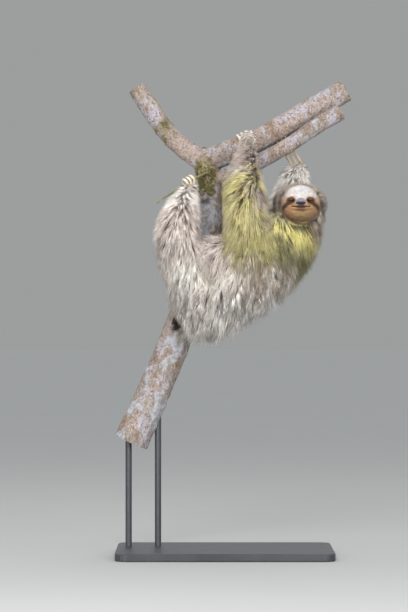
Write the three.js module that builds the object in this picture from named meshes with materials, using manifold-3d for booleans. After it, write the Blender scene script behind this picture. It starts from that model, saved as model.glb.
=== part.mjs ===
// A brown-throated three-toed sloth, life size, hanging under the fork of a leaning tree.
// Millimetres. +Z is up, +X runs from the rump towards the head, and -Y is the side that the
// face looks to. The origin is the middle of the stand's underside, on the floor.
//
// The body is one smooth field of distances, out to the tips of the coat. It is turned into
// faceted solids with marching cubes, then parted at its joints with thin cuts.
import * as THREE from "three";
import { mergeVertices } from "three/addons/utils/BufferGeometryUtils.js";
import { edgeTable, triTable } from "three/addons/objects/MarchingCubes.js";
import Module from "manifold-3d";

// ---------------------------------------------------------------- driving dimensions

const CUT = 0.5; // width of the cuts between parts of the body and of the tree
const GAP = 0.4; // space between two pieces that touch

const TRUNK_CELL = 30; // facet size of the trunk and neck
const LIMB_CELL = 24; // of the limbs
const HEAD_CELL = 11; // of the head
const HAND_CELL = 13.5; // of the hands, feet and tail

const EYE_RADIUS = 5.6;
const EYE_SPACING = 37; // between the middles of the eyes
const NOSE_SIZE = [9, 5.5, 6.5]; // half width, half depth, half height of the nose pad
const FORE_CLAW_RADIUS = 3.6; // at the root
const HIND_CLAW_RADIUS = 3.3;
const FORE_CLAW_SPACING = 9.5; // between the middles of neighbouring claws
const HIND_CLAW_SPACING = 8.2;
const CLAW_SIDES = 5;

const BASE_SIZE = [440, 300, 16]; // the stand's plate
const BASE_CORNER = 24;
const ROD_RADIUS = 6.5;

// Where the joints are, and the radius of the coat round them.
const spine = [
  { at: [-36, -86, 536], radius: 79 }, // pelvis
  { at: [28, -92, 562], radius: 80 }, // loins
  { at: [82, -98, 598], radius: 73 }, // chest
  { at: [126, -100, 636], radius: 59 }, // root of the neck
  { at: [151, -102, 676], radius: 49 }, // top of the neck
];
const belly = [
  { at: [-46, -96, 597], radius: 53 },
  { at: [30, -102, 604], radius: 52 },
];
const drape = [
  { at: [-42, -92, 494], radius: 48 }, // the long coat that hangs under the rump
  { at: [-28, -94, 462], radius: 26 },
];
const tail = [
  { at: [-52, -56, 500], radius: 20 },
  { at: [-62, -10, 474], radius: 11 },
];

// The head's main forms: middle, half sizes, and the band over which each runs into the rest.
const HEAD = [150, -112, 711];
const headForms = {
  skull: { at: HEAD, size: [56, 44, 45] },
  cheeks: { at: [150, -132, 704], size: [38, 28, 28], band: 14 },
  brow: { at: [150, -138, 733], size: [36, 18, 12], band: 12 },
  muzzle: { at: [150, -150, 709], size: [22, 18.5, 14], band: 12 },
};
const EYE_AT = { y: -145, z: 719 };
const EYE_HOLLOW = { size: [10, 6, 6], ahead: 7, band: 5 };
const EYE_OPENING = { front: 7.4, back: 4.4, depth: 14 }; // the flared hole before each eye
const NOSE_AT = [150, -167, 716];

// Each limb's stations: its root inside the trunk, elbow or knee, middle of the forearm or
// shin, wrist or ankle, and the end of the hand or foot.
const limbs = {
  arm_left: {
    parts: ["upper_arm_left", "forearm_left", "hand_left"],
    root: { at: [47, -143, 634], radius: 50 },
    bend: { at: [42, -136, 714], radius: 46 },
    lower: { at: [40, -100, 776], radius: 33 },
    wrist: { at: [46, -56, 818], radius: 19 },
    end: { at: [45, -36, 849], radius: 14 },
    blend: 26,
  },
  arm_right: {
    parts: ["upper_arm_right", "forearm_right", "hand_right"],
    root: { at: [96, -44, 622], radius: 42 },
    bend: { at: [112, 4, 690], radius: 37 },
    lower: { at: [137, 24, 738], radius: 37 },
    wrist: { at: [145, 34, 772], radius: 28 },
    end: { at: [151, 32, 788], radius: 17 },
    blend: 24,
  },
  leg_left: {
    parts: ["thigh_left", "shin_left", "foot_left"],
    root: { at: [-72, -118, 576], radius: 50 },
    bend: { at: [-97, -132, 644], radius: 46 },
    lower: { at: [-88, -108, 690], radius: 38 },
    wrist: { at: [-76, -76, 722], radius: 24 },
    end: { at: [-70, -60, 741], radius: 15 },
    blend: 24,
  },
  leg_right: {
    parts: ["thigh_right", "shin_right", "foot_right"],
    root: { at: [-4, -34, 574], radius: 42 },
    bend: { at: [26, 24, 602], radius: 35 },
    lower: { at: [26, 58, 634], radius: 28 },
    wrist: { at: [11, 80, 664], radius: 20 },
    end: { at: [-12, 84, 689], radius: 15 },
    blend: 24,
  },
};
const stationsOf = ({ root, bend, lower, wrist, end }) => [root, bend, lower, wrist, end];

// The tree: where each length of wood runs, with its radius there.
const FORK = [-38, 26, 804];
const tree = {
  perch_stem: [
    { at: [-192, 32, 228], radius: 35.5 },
    { at: [-144, 32, 335], radius: 34 },
    { at: [-106, 32, 424], radius: 32.5 },
    { at: [-72, 31, 522], radius: 29.5 },
    { at: [-36, 29, 640], radius: 26 },
    { at: [-26, 28, 750], radius: 24 },
    { at: FORK, radius: 27 },
  ],
  perch_branch_left: [
    { at: FORK, radius: 24 },
    { at: [-72, 30, 822], radius: 20 },
    { at: [-118, 36, 862], radius: 17.5 },
    { at: [-152, 40, 914], radius: 19.5 },
    { at: [-182, 42, 956], radius: 17 },
  ],
  perch_branch_right: [
    { at: FORK, radius: 25 },
    { at: [2, 14, 819], radius: 23 },
    { at: [46, 8, 835], radius: 23 },
    { at: [100, 26, 863], radius: 23 },
    { at: [174, 40, 908], radius: 23 },
    { at: [250, 44, 950], radius: 22 },
  ],
  perch_branch_lower: [
    { at: [-30, 24, 762], radius: 16 },
    { at: [20, 2, 776], radius: 15 },
    { at: [72, -6, 801], radius: 14.5 },
    { at: [126, -6, 832], radius: 14.5 },
    { at: [196, 0, 880], radius: 16 },
    { at: [238, 4, 904], radius: 16 },
  ],
  perch_twig: [
    { at: [-30, 22, 782], radius: 4.6 },
    { at: [-46, -14, 774], radius: 4 },
    { at: [-72, -39, 759], radius: 3.5 },
    { at: [-104, -52, 738], radius: 3.1 },
    { at: [-140, -62, 714], radius: 2.8 },
  ],
};

// ---------------------------------------------------------------- colours of the pieces

const finish = (color, roughness, metalness = 0) =>
  new THREE.MeshStandardMaterial({ color, roughness, metalness });
const coat = finish(0x9c8f80, 0.9);
const limbCoat = finish(0xa39a86, 0.9);
const faceCoat = finish(0xc9ab86, 0.85);
const claw = finish(0xd8c9a8, 0.4);
const eye = finish(0x1a0f0a, 0.08);
const nose = finish(0x4a4048, 0.35);
const bark = finish(0x9a8878, 0.95);
const twigBark = finish(0x8f8a4a, 0.8);
const paintedSteel = finish(0x2b2d2f, 0.45, 0.6);

// ---------------------------------------------------------------- solids

const wasm = await Module();
wasm.setup();

const vec = (v) => new THREE.Vector3(...v);

/** A closed three.js geometry as a solid that can be joined and cut. */
function solid(geometry) {
  const bare = geometry.clone();
  bare.deleteAttribute("normal");
  bare.deleteAttribute("uv");
  const merged = mergeVertices(bare, 1e-4);
  return new wasm.Manifold(
    new wasm.Mesh({
      numProp: 3,
      vertProperties: new Float32Array(merged.attributes.position.array),
      triVerts: new Uint32Array(merged.index.array),
    }),
  );
}

/** The solid's facets as a three.js geometry. */
function facets(manifold) {
  const mesh = manifold.getMesh();
  const geometry = new THREE.BufferGeometry();
  geometry.setAttribute("position", new THREE.BufferAttribute(mesh.vertProperties, 3));
  geometry.setIndex(new THREE.BufferAttribute(mesh.triVerts, 1));
  const flat = geometry.toNonIndexed();
  flat.computeVertexNormals();
  return flat;
}

const joined = (solids) => solids.reduce((all, one) => all.add(one));

/** Moves a geometry that is modelled along +Y so that it points along a direction at a place. */
function aimed(geometry, at, direction) {
  const turn = new THREE.Quaternion().setFromUnitVectors(
    new THREE.Vector3(0, 1, 0),
    direction.clone().normalize(),
  );
  return geometry.applyQuaternion(turn).translate(at.x, at.y, at.z);
}

function ellipsoid(at, [rx, ry, rz], segments = 14, grow = 0) {
  return new THREE.SphereGeometry(1, segments, Math.round(segments * 0.7))
    .scale(rx + grow, ry + grow, rz + grow)
    .translate(...at);
}

const smoothLine = (stations) =>
  new THREE.CatmullRomCurve3(stations.map(({ at }) => vec(at)), false, "centripetal");

/** The radius at a fraction of the way along the stations. */
function radiusAt(stations, t) {
  const along = t * (stations.length - 1);
  const before = Math.min(Math.floor(along), stations.length - 2);
  const [from, to] = [stations[before], stations[before + 1]];
  return THREE.MathUtils.lerp(from.radius, to.radius, along - before);
}

/** More stations on the smooth line through the given ones. */
function course(stations, perSpan = 3) {
  const line = smoothLine(stations);
  const count = (stations.length - 1) * perSpan;
  return Array.from({ length: count + 1 }, (_, i) => ({
    at: line.getPoint(i / count).toArray(),
    radius: radiusAt(stations, i / count),
  }));
}

/** A closed tube of changing radius along the smooth line through the stations. */
function taperedTube(stations, sides, steps, grow = 0) {
  const line = smoothLine(stations);
  const rings = [];
  let side = new THREE.Vector3(0.31, 0.94, 0.13);
  for (let ring = 0; ring <= steps; ring++) {
    const forward = line.getTangent(ring / steps);
    side = side.clone().projectOnPlane(forward).normalize();
    const lengthened = ring === 0 ? -grow : ring === steps ? grow : 0;
    rings.push({
      side,
      other: new THREE.Vector3().crossVectors(side, forward),
      middle: line.getPoint(ring / steps).addScaledVector(forward, lengthened),
      radius: radiusAt(stations, ring / steps) + grow,
    });
  }
  const tube = new THREE.CylinderGeometry(1, 1, 1, sides, steps);
  const position = tube.attributes.position;
  const point = new THREE.Vector3();
  for (let i = 0; i < position.count; i++) {
    point.fromBufferAttribute(position, i);
    const { side: across, other, middle, radius } = rings[Math.round((point.y + 0.5) * steps)];
    const { x, z } = point;
    point.copy(middle).addScaledVector(across, x * radius).addScaledVector(other, z * radius);
    position.setXYZ(i, point.x, point.y, point.z);
  }
  return tube;
}

// ---------------------------------------------------------------- the body as a field

/** Distance from a point to a capsule whose radius changes from one end to the other. */
function taperedCapsule(from, to) {
  const a = vec(from.at);
  const along = vec(to.at).sub(a);
  const lengthSquared = along.lengthSq();
  const offset = new THREE.Vector3();
  return (p) => {
    offset.subVectors(p, a);
    const t = THREE.MathUtils.clamp(offset.dot(along) / lengthSquared, 0, 1);
    return offset.addScaledVector(along, -t).length() - THREE.MathUtils.lerp(from.radius, to.radius, t);
  };
}

function ellipsoidField(at, [rx, ry, rz]) {
  return (p) => {
    const [x, y, z] = [p.x - at[0], p.y - at[1], p.z - at[2]];
    const near = Math.hypot(x / rx, y / ry, z / rz);
    const slope = Math.hypot(x / rx ** 2, y / ry ** 2, z / rz ** 2);
    return slope === 0 ? -Math.min(rx, ry, rz) : (near * (near - 1)) / slope;
  };
}

/** Two fields run into each other over a band of the given width. */
function smoothMin(a, b, band) {
  const h = Math.max(band - Math.abs(a - b), 0) / band;
  return Math.min(a, b) - h * h * band * 0.25;
}

/** The field of a smooth tapered line of flesh. */
function chain(stations) {
  const line = course(stations);
  const links = line.slice(1).map((to, i) => taperedCapsule(line[i], to));
  return (p) => Math.min(...links.map((link) => link(p)));
}

const TRUNK_BAND = 34; // over how far the belly and the drape run into the back
const HEAD_BAND = 14;
const TAIL_BAND = 10;

const trunkField = (() => {
  const back = chain(spine);
  const front = chain(belly);
  const hanging = chain(drape);
  return (p) => smoothMin(smoothMin(back(p), front(p), TRUNK_BAND), hanging(p), TRUNK_BAND);
})();

const eyeAt = (side, ahead = 0) => [HEAD[0] + (side * EYE_SPACING) / 2, EYE_AT.y - ahead, EYE_AT.z];

const headField = (() => {
  const { skull, ...swellings } = headForms;
  const base = ellipsoidField(skull.at, skull.size);
  const added = Object.values(swellings).map(({ at, size, band }) => ({
    field: ellipsoidField(at, size),
    band,
  }));
  const hollows = [-1, 1].map((side) =>
    ellipsoidField(eyeAt(side, EYE_HOLLOW.ahead), EYE_HOLLOW.size),
  );
  return (p) => {
    const face = added.reduce((d, { field, band }) => smoothMin(d, field(p), band), base(p));
    return hollows.reduce((d, hollow) => -smoothMin(-d, hollow(p), EYE_HOLLOW.band), face);
  };
})();

const limbFields = Object.values(limbs).map((limb) => ({
  field: chain(stationsOf(limb)),
  blend: limb.blend,
}));
const tailField = chain(tail);

/** The whole animal: each limb runs into the trunk, but limbs don't run into each other. */
function bodyField(p) {
  const trunk = trunkField(p);
  const branches = limbFields.map(({ field, blend }) => smoothMin(trunk, field(p), blend));
  const neck = smoothMin(trunk, headField(p), HEAD_BAND);
  return Math.min(...branches, neck, smoothMin(trunk, tailField(p), TAIL_BAND));
}

const BODY_BOX = new THREE.Box3(vec([-172, -212, 410]), vec([238, 128, 892]));

/** The field's zero surface as a closed mesh, by marching cubes with cells of one size. */
function polygonise(field, box, cell) {
  const counts = box.getSize(new THREE.Vector3()).divideScalar(cell).ceil().addScalar(1);
  const [nx, ny, nz] = counts.toArray();
  const index = (i, j, k) => i + nx * (j + ny * k);
  const place = (i, j, k) => new THREE.Vector3(i, j, k).multiplyScalar(cell).add(box.min);
  const values = new Float64Array(nx * ny * nz);
  for (let k = 0; k < nz; k++)
    for (let j = 0; j < ny; j++)
      for (let i = 0; i < nx; i++) values[index(i, j, k)] = field(place(i, j, k));

  const corners = [
    [0, 0, 0], [1, 0, 0], [1, 1, 0], [0, 1, 0],
    [0, 0, 1], [1, 0, 1], [1, 1, 1], [0, 1, 1],
  ];
  const edges = [
    [0, 1], [1, 2], [2, 3], [3, 0], [4, 5], [5, 6], [6, 7], [7, 4],
    [0, 4], [1, 5], [2, 6], [3, 7],
  ];
  const vertices = [];
  const triangles = [];
  const made = new Map(); // the vertex on each edge of the grid
  const vertexOn = (a, b) => {
    const [ia, ib] = [index(...a), index(...b)];
    const key = ia < ib ? `${ia} ${ib}` : `${ib} ${ia}`;
    if (!made.has(key)) {
      const [low, high, from, to] = ia < ib ? [ia, ib, a, b] : [ib, ia, b, a];
      const t = values[low] / (values[low] - values[high]);
      const point = place(...from).lerp(place(...to), THREE.MathUtils.clamp(t, 0.06, 0.94));
      made.set(key, vertices.length / 3);
      vertices.push(...point.toArray());
    }
    return made.get(key);
  };
  for (let k = 0; k < nz - 1; k++)
    for (let j = 0; j < ny - 1; j++)
      for (let i = 0; i < nx - 1; i++) {
        const at = corners.map(([x, y, z]) => [i + x, j + y, k + z]);
        const code = at.reduce((bits, c, n) => bits | (values[index(...c)] < 0 ? 1 << n : 0), 0);
        if (!edgeTable[code]) continue;
        for (let n = code * 16; triTable[n] !== -1; n += 3)
          for (const step of [0, 2, 1]) {
            const [a, b] = edges[triTable[n + step]];
            triangles.push(vertexOn(at[a], at[b]));
          }
      }
  return new wasm.Manifold(
    new wasm.Mesh({
      numProp: 3,
      vertProperties: new Float32Array(vertices),
      triVerts: new Uint32Array(triangles),
    }),
  );
}

// ---------------------------------------------------------------- cuts

const SLEEVE = 5; // how far the solid that cuts a limb free stands off its coat
const SLEEVE_SIDES = 12;
const SEAT = 0.2; // how far from its root towards its elbow or knee a limb is seated in the trunk
const SLIVER = 400; // mm3: crumbs that a cut leaves beside it

/** A thin round blade across a place. */
function disc(at, direction, radius) {
  return solid(aimed(new THREE.CylinderGeometry(radius, radius, CUT, 12), at, direction));
}

const along = (a, b, t) => vec(a.at).lerp(vec(b.at), t);
const towards = (a, b) => vec(b.at).sub(vec(a.at)).normalize();

/** A solid just larger than a limb, from its seat inside the trunk out past its end. */
function sleeve(limb, grow) {
  const { root, bend, lower, wrist, end } = limb;
  const seat = { at: along(root, bend, SEAT).toArray(), radius: root.radius };
  const beyond = vec(end.at).addScaledVector(towards(wrist, end), end.radius + SLEEVE + grow);
  const past = { at: beyond.toArray(), radius: end.radius };
  const stations = [seat, bend, lower, wrist, end, past];
  const wide = stations.map(({ at, radius }) => ({ at, radius: radius + SLEEVE }));
  return solid(taperedTube(wide, SLEEVE_SIDES, (wide.length - 1) * 2, grow));
}

/** The blades at a limb's elbow or knee, and at its wrist or ankle. */
function limbCuts({ root, bend, lower, wrist, end }) {
  const atBend = towards(root, bend).add(towards(bend, lower));
  const atWrist = towards(lower, wrist).add(towards(wrist, end));
  return disc(vec(bend.at), atBend, bend.radius * 1.8)
    .add(disc(vec(wrist.at), atWrist, wrist.radius * 1.8));
}

const WAIST = { at: along(spine[1], spine[2], 0.32), across: towards(spine[1], spine[2]), radius: 130 };
const NECK_ROOT = { at: along(spine[2], spine[3], 0.75), across: towards(spine[2], spine[3]), radius: 110 };
const NECK_TOP = { at: vec([150, -104, 678]), across: vec([0.12, -0.36, 0.93]), radius: 90 };
const TAIL_ROOT = { at: along(tail[0], tail[1], 0.75), across: towards(tail[0], tail[1]), radius: 24 };
const trunkCuts = joined(
  [WAIST, NECK_ROOT, NECK_TOP, TAIL_ROOT].map(({ at, across, radius }) => disc(at, across, radius)),
);

const wholePieces = (manifold) => manifold.decompose().filter((one) => one.volume() > SLIVER);

const middleOf = (manifold) => {
  const { min, max } = manifold.boundingBox();
  return vec(min).add(vec(max)).multiplyScalar(0.5);
};

const nearest = (pieces, at) =>
  pieces.reduce((best, piece) =>
    middleOf(piece).distanceTo(at) < middleOf(best).distanceTo(at) ? piece : best,
  );

const body = (cell) => polygonise(bodyField, BODY_BOX, cell);

/** The trunk's own pieces, with the limbs cut away. */
const trunkPieces = (whole) =>
  wholePieces(
    Object.values(limbs).reduce((rest, limb) => rest.subtract(sleeve(limb, CUT)), whole)
      .subtract(trunkCuts),
  );

/** The pieces of one limb. */
const limbPieces = (whole, limb) =>
  wholePieces(whole.intersect(sleeve(limb, 0)).subtract(limbCuts(limb)));

// ---------------------------------------------------------------- the tree

const WOOD_SIDES = 10;
const TWIG_SIDES = 6;

function wood(name, grow = 0) {
  const sides = name === "perch_twig" ? TWIG_SIDES : WOOD_SIDES;
  const steps = (tree[name].length - 1) * (name === "perch_stem" ? 1 : 2);
  return solid(taperedTube(tree[name], sides, steps, grow));
}

const brokenStub = [
  { at: [-36, 16, 724], radius: 11 },
  { at: [-45, -14, 731], radius: 7.5 },
];

const wholeTree = (grow) =>
  joined([
    ...Object.keys(tree).map((name) => wood(name, grow)),
    solid(taperedTube(brokenStub, TWIG_SIDES, 1, grow)),
  ]);

// Where each branch is parted from the stem: place, direction of the branch there, blade radius.
const partings = [
  { at: [-64, 29, 816], across: [-0.82, 0.1, 0.5], radius: 32 },
  { at: [-4, 15, 816], across: [0.95, -0.28, 0.2], radius: 34 },
  { at: [-2, 11, 770], across: [0.9, -0.42, 0.26], radius: 23 },
  { at: [-42, -6, 776], across: [-0.35, -0.9, -0.2], radius: 9 },
];
const treeCuts = joined(partings.map(({ at, across, radius }) => disc(vec(at), vec(across), radius)));

// ---------------------------------------------------------------- claws

/**
 * Each row of claws leaves the hand at its end, bends round a branch, and tapers to a point.
 * from is the direction from the branch's middle line at which the claws meet the branch.
 */
const fore = { radius: FORE_CLAW_RADIUS, spacing: FORE_CLAW_SPACING };
const hind = { radius: HIND_CLAW_RADIUS, spacing: HIND_CLAW_SPACING };
const clawRows = {
  hand_left: {
    ...fore, limb: "arm_left", middle: [45, 8, 834], axis: [0.9, 0.1, 0.42],
    bend: 28, from: [0, -0.97, 0.1], sweep: 132,
  },
  hand_right: {
    ...fore, limb: "arm_right", middle: [126, -6, 832], axis: [0.82, 0.04, 0.57],
    bend: 19.4, from: [0.1, 0.96, -0.2], sweep: 100,
  },
  foot_left: {
    ...hind, limb: "leg_left", middle: [-72, -39, 757], axis: [-0.8, -0.37, -0.48],
    bend: 11.5, from: [0.1, -0.9, 0.1], sweep: 165,
  },
  foot_right: {
    ...hind, limb: "leg_right", middle: [-29, 28, 700], axis: [0.03, 0, 1],
    bend: 30.2, from: [0.2, 0.98, 0], sweep: 100,
  },
};

function clawTube(row, number, grow = 0) {
  const axis = vec(row.axis).normalize();
  const shift = axis.clone().multiplyScalar((number - 2) * row.spacing);
  const out = vec(row.from).projectOnPlane(axis).normalize();
  const { wrist, end } = limbs[row.limb];
  const knuckle = vec(end.at).addScaledVector(towards(wrist, end), end.radius * 0.2);
  const turnSign = Math.sign(new THREE.Vector3().crossVectors(axis, out).dot(towards(wrist, end)));
  const stations = [{ at: knuckle.clone().add(shift).toArray(), radius: row.radius + grow }];
  const bends = 5;
  for (let i = 0; i <= bends; i++) {
    const turn = THREE.MathUtils.degToRad((row.sweep * i) / bends) * turnSign;
    const at = out.clone().applyAxisAngle(axis, turn).multiplyScalar(row.bend);
    stations.push({
      at: at.add(vec(row.middle)).add(shift).toArray(),
      radius: THREE.MathUtils.lerp(row.radius, 0.9, (i / bends) ** 1.3) + grow,
    });
  }
  return solid(taperedTube(stations, CLAW_SIDES, 6));
}

// ---------------------------------------------------------------- the stand

const rods = { stand_rod_left: [-196, 32], stand_rod_right: [-136, 32] };
const ROD_REACH = 420; // rods run up inside the stem, and end where its bark cuts them
const BASE_CHAMFER = 2;

function standBase() {
  const [width, depth, height] = BASE_SIZE;
  const [x, y, r] = [width / 2, depth / 2, BASE_CORNER];
  const shape = new THREE.Shape();
  const [ix, iy, ir] = [x - BASE_CHAMFER, y - BASE_CHAMFER, r - BASE_CHAMFER];
  shape.moveTo(-ix + ir, -iy);
  shape.lineTo(ix - ir, -iy);
  shape.absarc(ix - ir, -iy + ir, ir, -Math.PI / 2, 0);
  shape.lineTo(ix, iy - ir);
  shape.absarc(ix - ir, iy - ir, ir, 0, Math.PI / 2);
  shape.lineTo(-ix + ir, iy);
  shape.absarc(-ix + ir, iy - ir, ir, Math.PI / 2, Math.PI);
  shape.lineTo(-ix, -iy + ir);
  shape.absarc(-ix + ir, -iy + ir, ir, Math.PI, 1.5 * Math.PI);
  return new THREE.ExtrudeGeometry(shape, {
    depth: height - 2 * BASE_CHAMFER,
    bevelThickness: BASE_CHAMFER,
    bevelSize: BASE_CHAMFER,
    bevelSegments: 1,
    curveSegments: 3,
  }).translate(0, 0, BASE_CHAMFER);
}

function standRod([x, y], top) {
  const foot = BASE_SIZE[2] + GAP;
  return new THREE.CylinderGeometry(ROD_RADIUS, ROD_RADIUS, top - foot, 16)
    .rotateX(Math.PI / 2)
    .translate(x, y, (top + foot) / 2);
}

// ---------------------------------------------------------------- putting it together

const sloth = new THREE.Group();
const add = (name, manifold, material) => {
  const mesh = new THREE.Mesh(facets(manifold), material.clone());
  mesh.name = name;
  sloth.add(mesh);
};

const treeSolid = wholeTree(0);
const aroundTree = wholeTree(GAP);
const treePieces = treeSolid.subtract(treeCuts).decompose().filter((p) => p.volume() > SLIVER);
for (const name of Object.keys(tree)) {
  const stations = tree[name];
  const at = vec(stations[0].at).lerp(vec(stations[stations.length - 1].at), 0.5);
  const piece = nearest(treePieces, at);
  add(name, piece, name === "perch_twig" ? twigBark : bark);
}

const limbWhole = body(LIMB_CELL);
const handWhole = body(HAND_CELL);

const trunk = trunkPieces(body(TRUNK_CELL));
add("chest", nearest(trunk, vec(spine[2].at)).subtract(aroundTree), coat);
add("rump", nearest(trunk, vec(spine[0].at)).subtract(aroundTree), coat);
add("neck", nearest(trunk, vec([140, -100, 655])), coat);
add("tail", nearest(trunkPieces(handWhole), vec(tail[1].at)).subtract(aroundTree), coat);

for (const limb of Object.values(limbs)) {
  const [upper, forearm, tip] = limb.parts;
  const { root, bend, lower, wrist, end } = limb;
  const lengths = limbPieces(limbWhole, limb);
  add(upper, nearest(lengths, along(root, bend, 0.5)).subtract(aroundTree), limbCoat);
  add(forearm, nearest(lengths, vec(lower.at)).subtract(aroundTree), limbCoat);
  const claws = [1, 2, 3].map((number) => clawTube(clawRows[tip], number));
  const sockets = joined([1, 2, 3].map((number) => clawTube(clawRows[tip], number, GAP)));
  const hand = nearest(limbPieces(handWhole, limb), along(wrist, end, 0.8));
  add(tip, hand.subtract(aroundTree).subtract(sockets), limbCoat);
  claws.forEach((one, i) => add(`${tip}_claw_${i + 1}`, one, claw));
}

const ball = (at, radius) => solid(ellipsoid(at, [radius, radius, radius], 9));
const eyeSocket = (side) => {
  const { front, back, depth } = EYE_OPENING;
  const opening = new THREE.CylinderGeometry(front, back, depth, 12).rotateX(Math.PI / 2);
  const middle = eyeAt(side, depth / 2);
  return ball(eyeAt(side), EYE_RADIUS + GAP).add(solid(opening.translate(...middle)));
};

const head = nearest(trunkPieces(body(HEAD_CELL)), vec(HEAD))
  .subtract(solid(ellipsoid(NOSE_AT, NOSE_SIZE, 10, GAP)))
  .subtract(eyeSocket(-1))
  .subtract(eyeSocket(1));
add("head", head, faceCoat);
add("nose", solid(ellipsoid(NOSE_AT, NOSE_SIZE, 10)), nose);
add("eye_left", ball(eyeAt(-1), EYE_RADIUS), eye);
add("eye_right", ball(eyeAt(1), EYE_RADIUS), eye);

add("stand_base", solid(standBase()), paintedSteel);
for (const [name, place] of Object.entries(rods)) {
  const whole = solid(standRod(place, ROD_REACH)).subtract(aroundTree);
  add(name, nearest(whole.decompose(), vec([...place, 0])), paintedSteel);
}

export default sloth;
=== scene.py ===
"""Looks of a life-size three-toed sloth that hangs under a tree fork on a display stand.

The body is one skin under a coat of solid tufts. Lengths in the tables are millimetres.
"""
import math

import bmesh
import bpy
import numpy as np
from bpy.props import FloatProperty, FloatVectorProperty, IntProperty, PointerProperty
from mathutils import Matrix, Vector, noise
from mathutils.bvhtree import BVHTree
from mathutils.kdtree import KDTree


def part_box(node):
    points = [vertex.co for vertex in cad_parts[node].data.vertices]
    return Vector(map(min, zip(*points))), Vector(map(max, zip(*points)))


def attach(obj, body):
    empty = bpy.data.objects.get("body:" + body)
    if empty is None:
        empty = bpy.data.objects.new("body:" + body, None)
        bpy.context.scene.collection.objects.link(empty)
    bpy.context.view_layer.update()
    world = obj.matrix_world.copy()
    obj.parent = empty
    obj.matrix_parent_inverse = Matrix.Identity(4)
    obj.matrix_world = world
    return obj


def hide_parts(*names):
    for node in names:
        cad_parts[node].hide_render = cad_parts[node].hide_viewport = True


bl_info = {
    "name": "Three-toed sloth on a perch",
    "version": (1, 0, 0),
    "blender": (4, 5, 0),
    "location": "3D View > Sidebar > Sloth",
    "description": "Skin, coat, face, claws, bark and stand of a life-size sloth model",
    "category": "Add Mesh",
}

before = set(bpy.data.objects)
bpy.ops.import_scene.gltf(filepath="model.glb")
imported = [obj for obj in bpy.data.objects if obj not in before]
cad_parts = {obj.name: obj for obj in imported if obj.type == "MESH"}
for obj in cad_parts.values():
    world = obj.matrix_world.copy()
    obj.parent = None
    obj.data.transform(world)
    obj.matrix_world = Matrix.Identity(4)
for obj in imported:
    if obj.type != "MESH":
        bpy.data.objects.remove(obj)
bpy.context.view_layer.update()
MM = 0.001
DOWN = np.array([0.0, 0.0, -1.0])

# ------------------------------------------------------------------ the animal's measures

# Joints along each length of the body, with the radius of the coat round them.
LENGTHS = {
    "spine": [((-36, -86, 536), 79), ((28, -92, 562), 80), ((82, -98, 598), 73),
              ((126, -100, 636), 59), ((151, -102, 676), 49)],
    "belly": [((-46, -96, 597), 53), ((30, -102, 604), 52)],
    "drape": [((-42, -92, 494), 48), ((-28, -94, 462), 26)],
    "breast": [((92, -122, 650), 43), ((112, -118, 668), 37)],
    "tail": [((-52, -56, 500), 20), ((-62, -10, 474), 11)],
    "arm_left": [((47, -143, 634), 50), ((42, -136, 714), 46), ((40, -100, 776), 33),
                 ((46, -56, 818), 19), ((45, -36, 849), 14)],
    "arm_right": [((96, -44, 622), 42), ((112, 4, 690), 37), ((137, 24, 738), 37),
                  ((145, 34, 772), 28), ((151, 32, 788), 17)],
    "leg_left": [((-72, -118, 576), 50), ((-97, -132, 644), 46), ((-88, -108, 690), 38),
                 ((-76, -76, 722), 24), ((-70, -60, 741), 15)],
    "leg_right": [((-4, -34, 574), 42), ((26, 24, 602), 35), ((26, 58, 634), 28),
                  ((11, 80, 664), 20), ((-12, 84, 689), 15)],
}
HAIR_ONLY = ("drape",)  # all hair: there is no flesh in it

# The head's forms: middle, half sizes out to the coat, and half sizes of the flesh.
HEAD_FORMS = {
    "skull": ((150, -112, 711), (56, 44, 45), (48, 36, 37)),
    "face": ((150, -124, 716), (40, 32, 34), (36, 29, 31)),
    "cheeks": ((150, -132, 704), (38, 28, 28), (35, 25.5, 25)),
    "brow": ((150, -138, 733), (36, 18, 12), (30, 11, 10)),
    "muzzle": ((150, -150, 709), (22, 18.5, 14), (19.5, 16, 11.5)),
}
FACE_X, FACE_Z = 150, 704
FACE_HALF, FACE_UP, FACE_DOWN = 37, 42.5, 34  # how far its short hair reaches from there
EYES = {"eye_left": (131.5, -144.8, 719), "eye_right": (168.5, -144.8, 719)}
EYE_RADIUS = 5.6
NOSE_AT = (149.6, -166.5, 715.3)
NOSE_HALF = (9.4, 5.5, 7.4)
MOUTH_Z = 703.7
MOUTH_HALF = 19.0

# How each row of claws bends round the wood: the limb, the radius of a claw's root, the spacing of
# the claws, a point on the wood's middle line, the way that line runs, the bend's radius, the side
# from which the claws come, and the angle they go round in degrees.
CLAW_ROWS = {
    "hand_left": (
        "arm_left", 3.6, 9.5, (45, 8, 834), (0.9, 0.1, 0.42), 28, (0, -0.97, 0.1), 132
    ),
    "hand_right": (
        "arm_right", 3.6, 9.5, (126, -6, 832), (0.82, 0.04, 0.57), 19.4, (0.1, 0.96, -0.2), 100
    ),
    "foot_left": (
        "leg_left", 3.3, 8.2, (-72, -39, 757), (-0.8, -0.37, -0.48), 11.5, (0.1, -0.9, 0.1), 165
    ),
    "foot_right": (
        "leg_right", 3.3, 8.2, (-29, 28, 700), (0.03, 0, 1), 30.2, (0.2, 0.98, 0), 100
    ),
}
CLAW_BENDS = 8
CLAW_SIDES = 14
CLAW_TIP = 0.5  # radius
CLAW_WIDTH = 0.84  # for each unit of its height

# Sawn ends of the wood: middle, the way the wood runs out of it, and its radius.
SAWN_ENDS = {
    "stem": ((-192, 32, 228), (-0.41, 0, -0.91), 35.5),
    "branch_left": ((-182, 42, 956), (-0.58, 0.04, 0.81), 17),
    "branch_right": ((250, 44, 950), (0.87, 0.05, 0.48), 22),
    "branch_lower": ((238, 4, 904), (0.86, 0.07, 0.5), 16),
}

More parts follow.
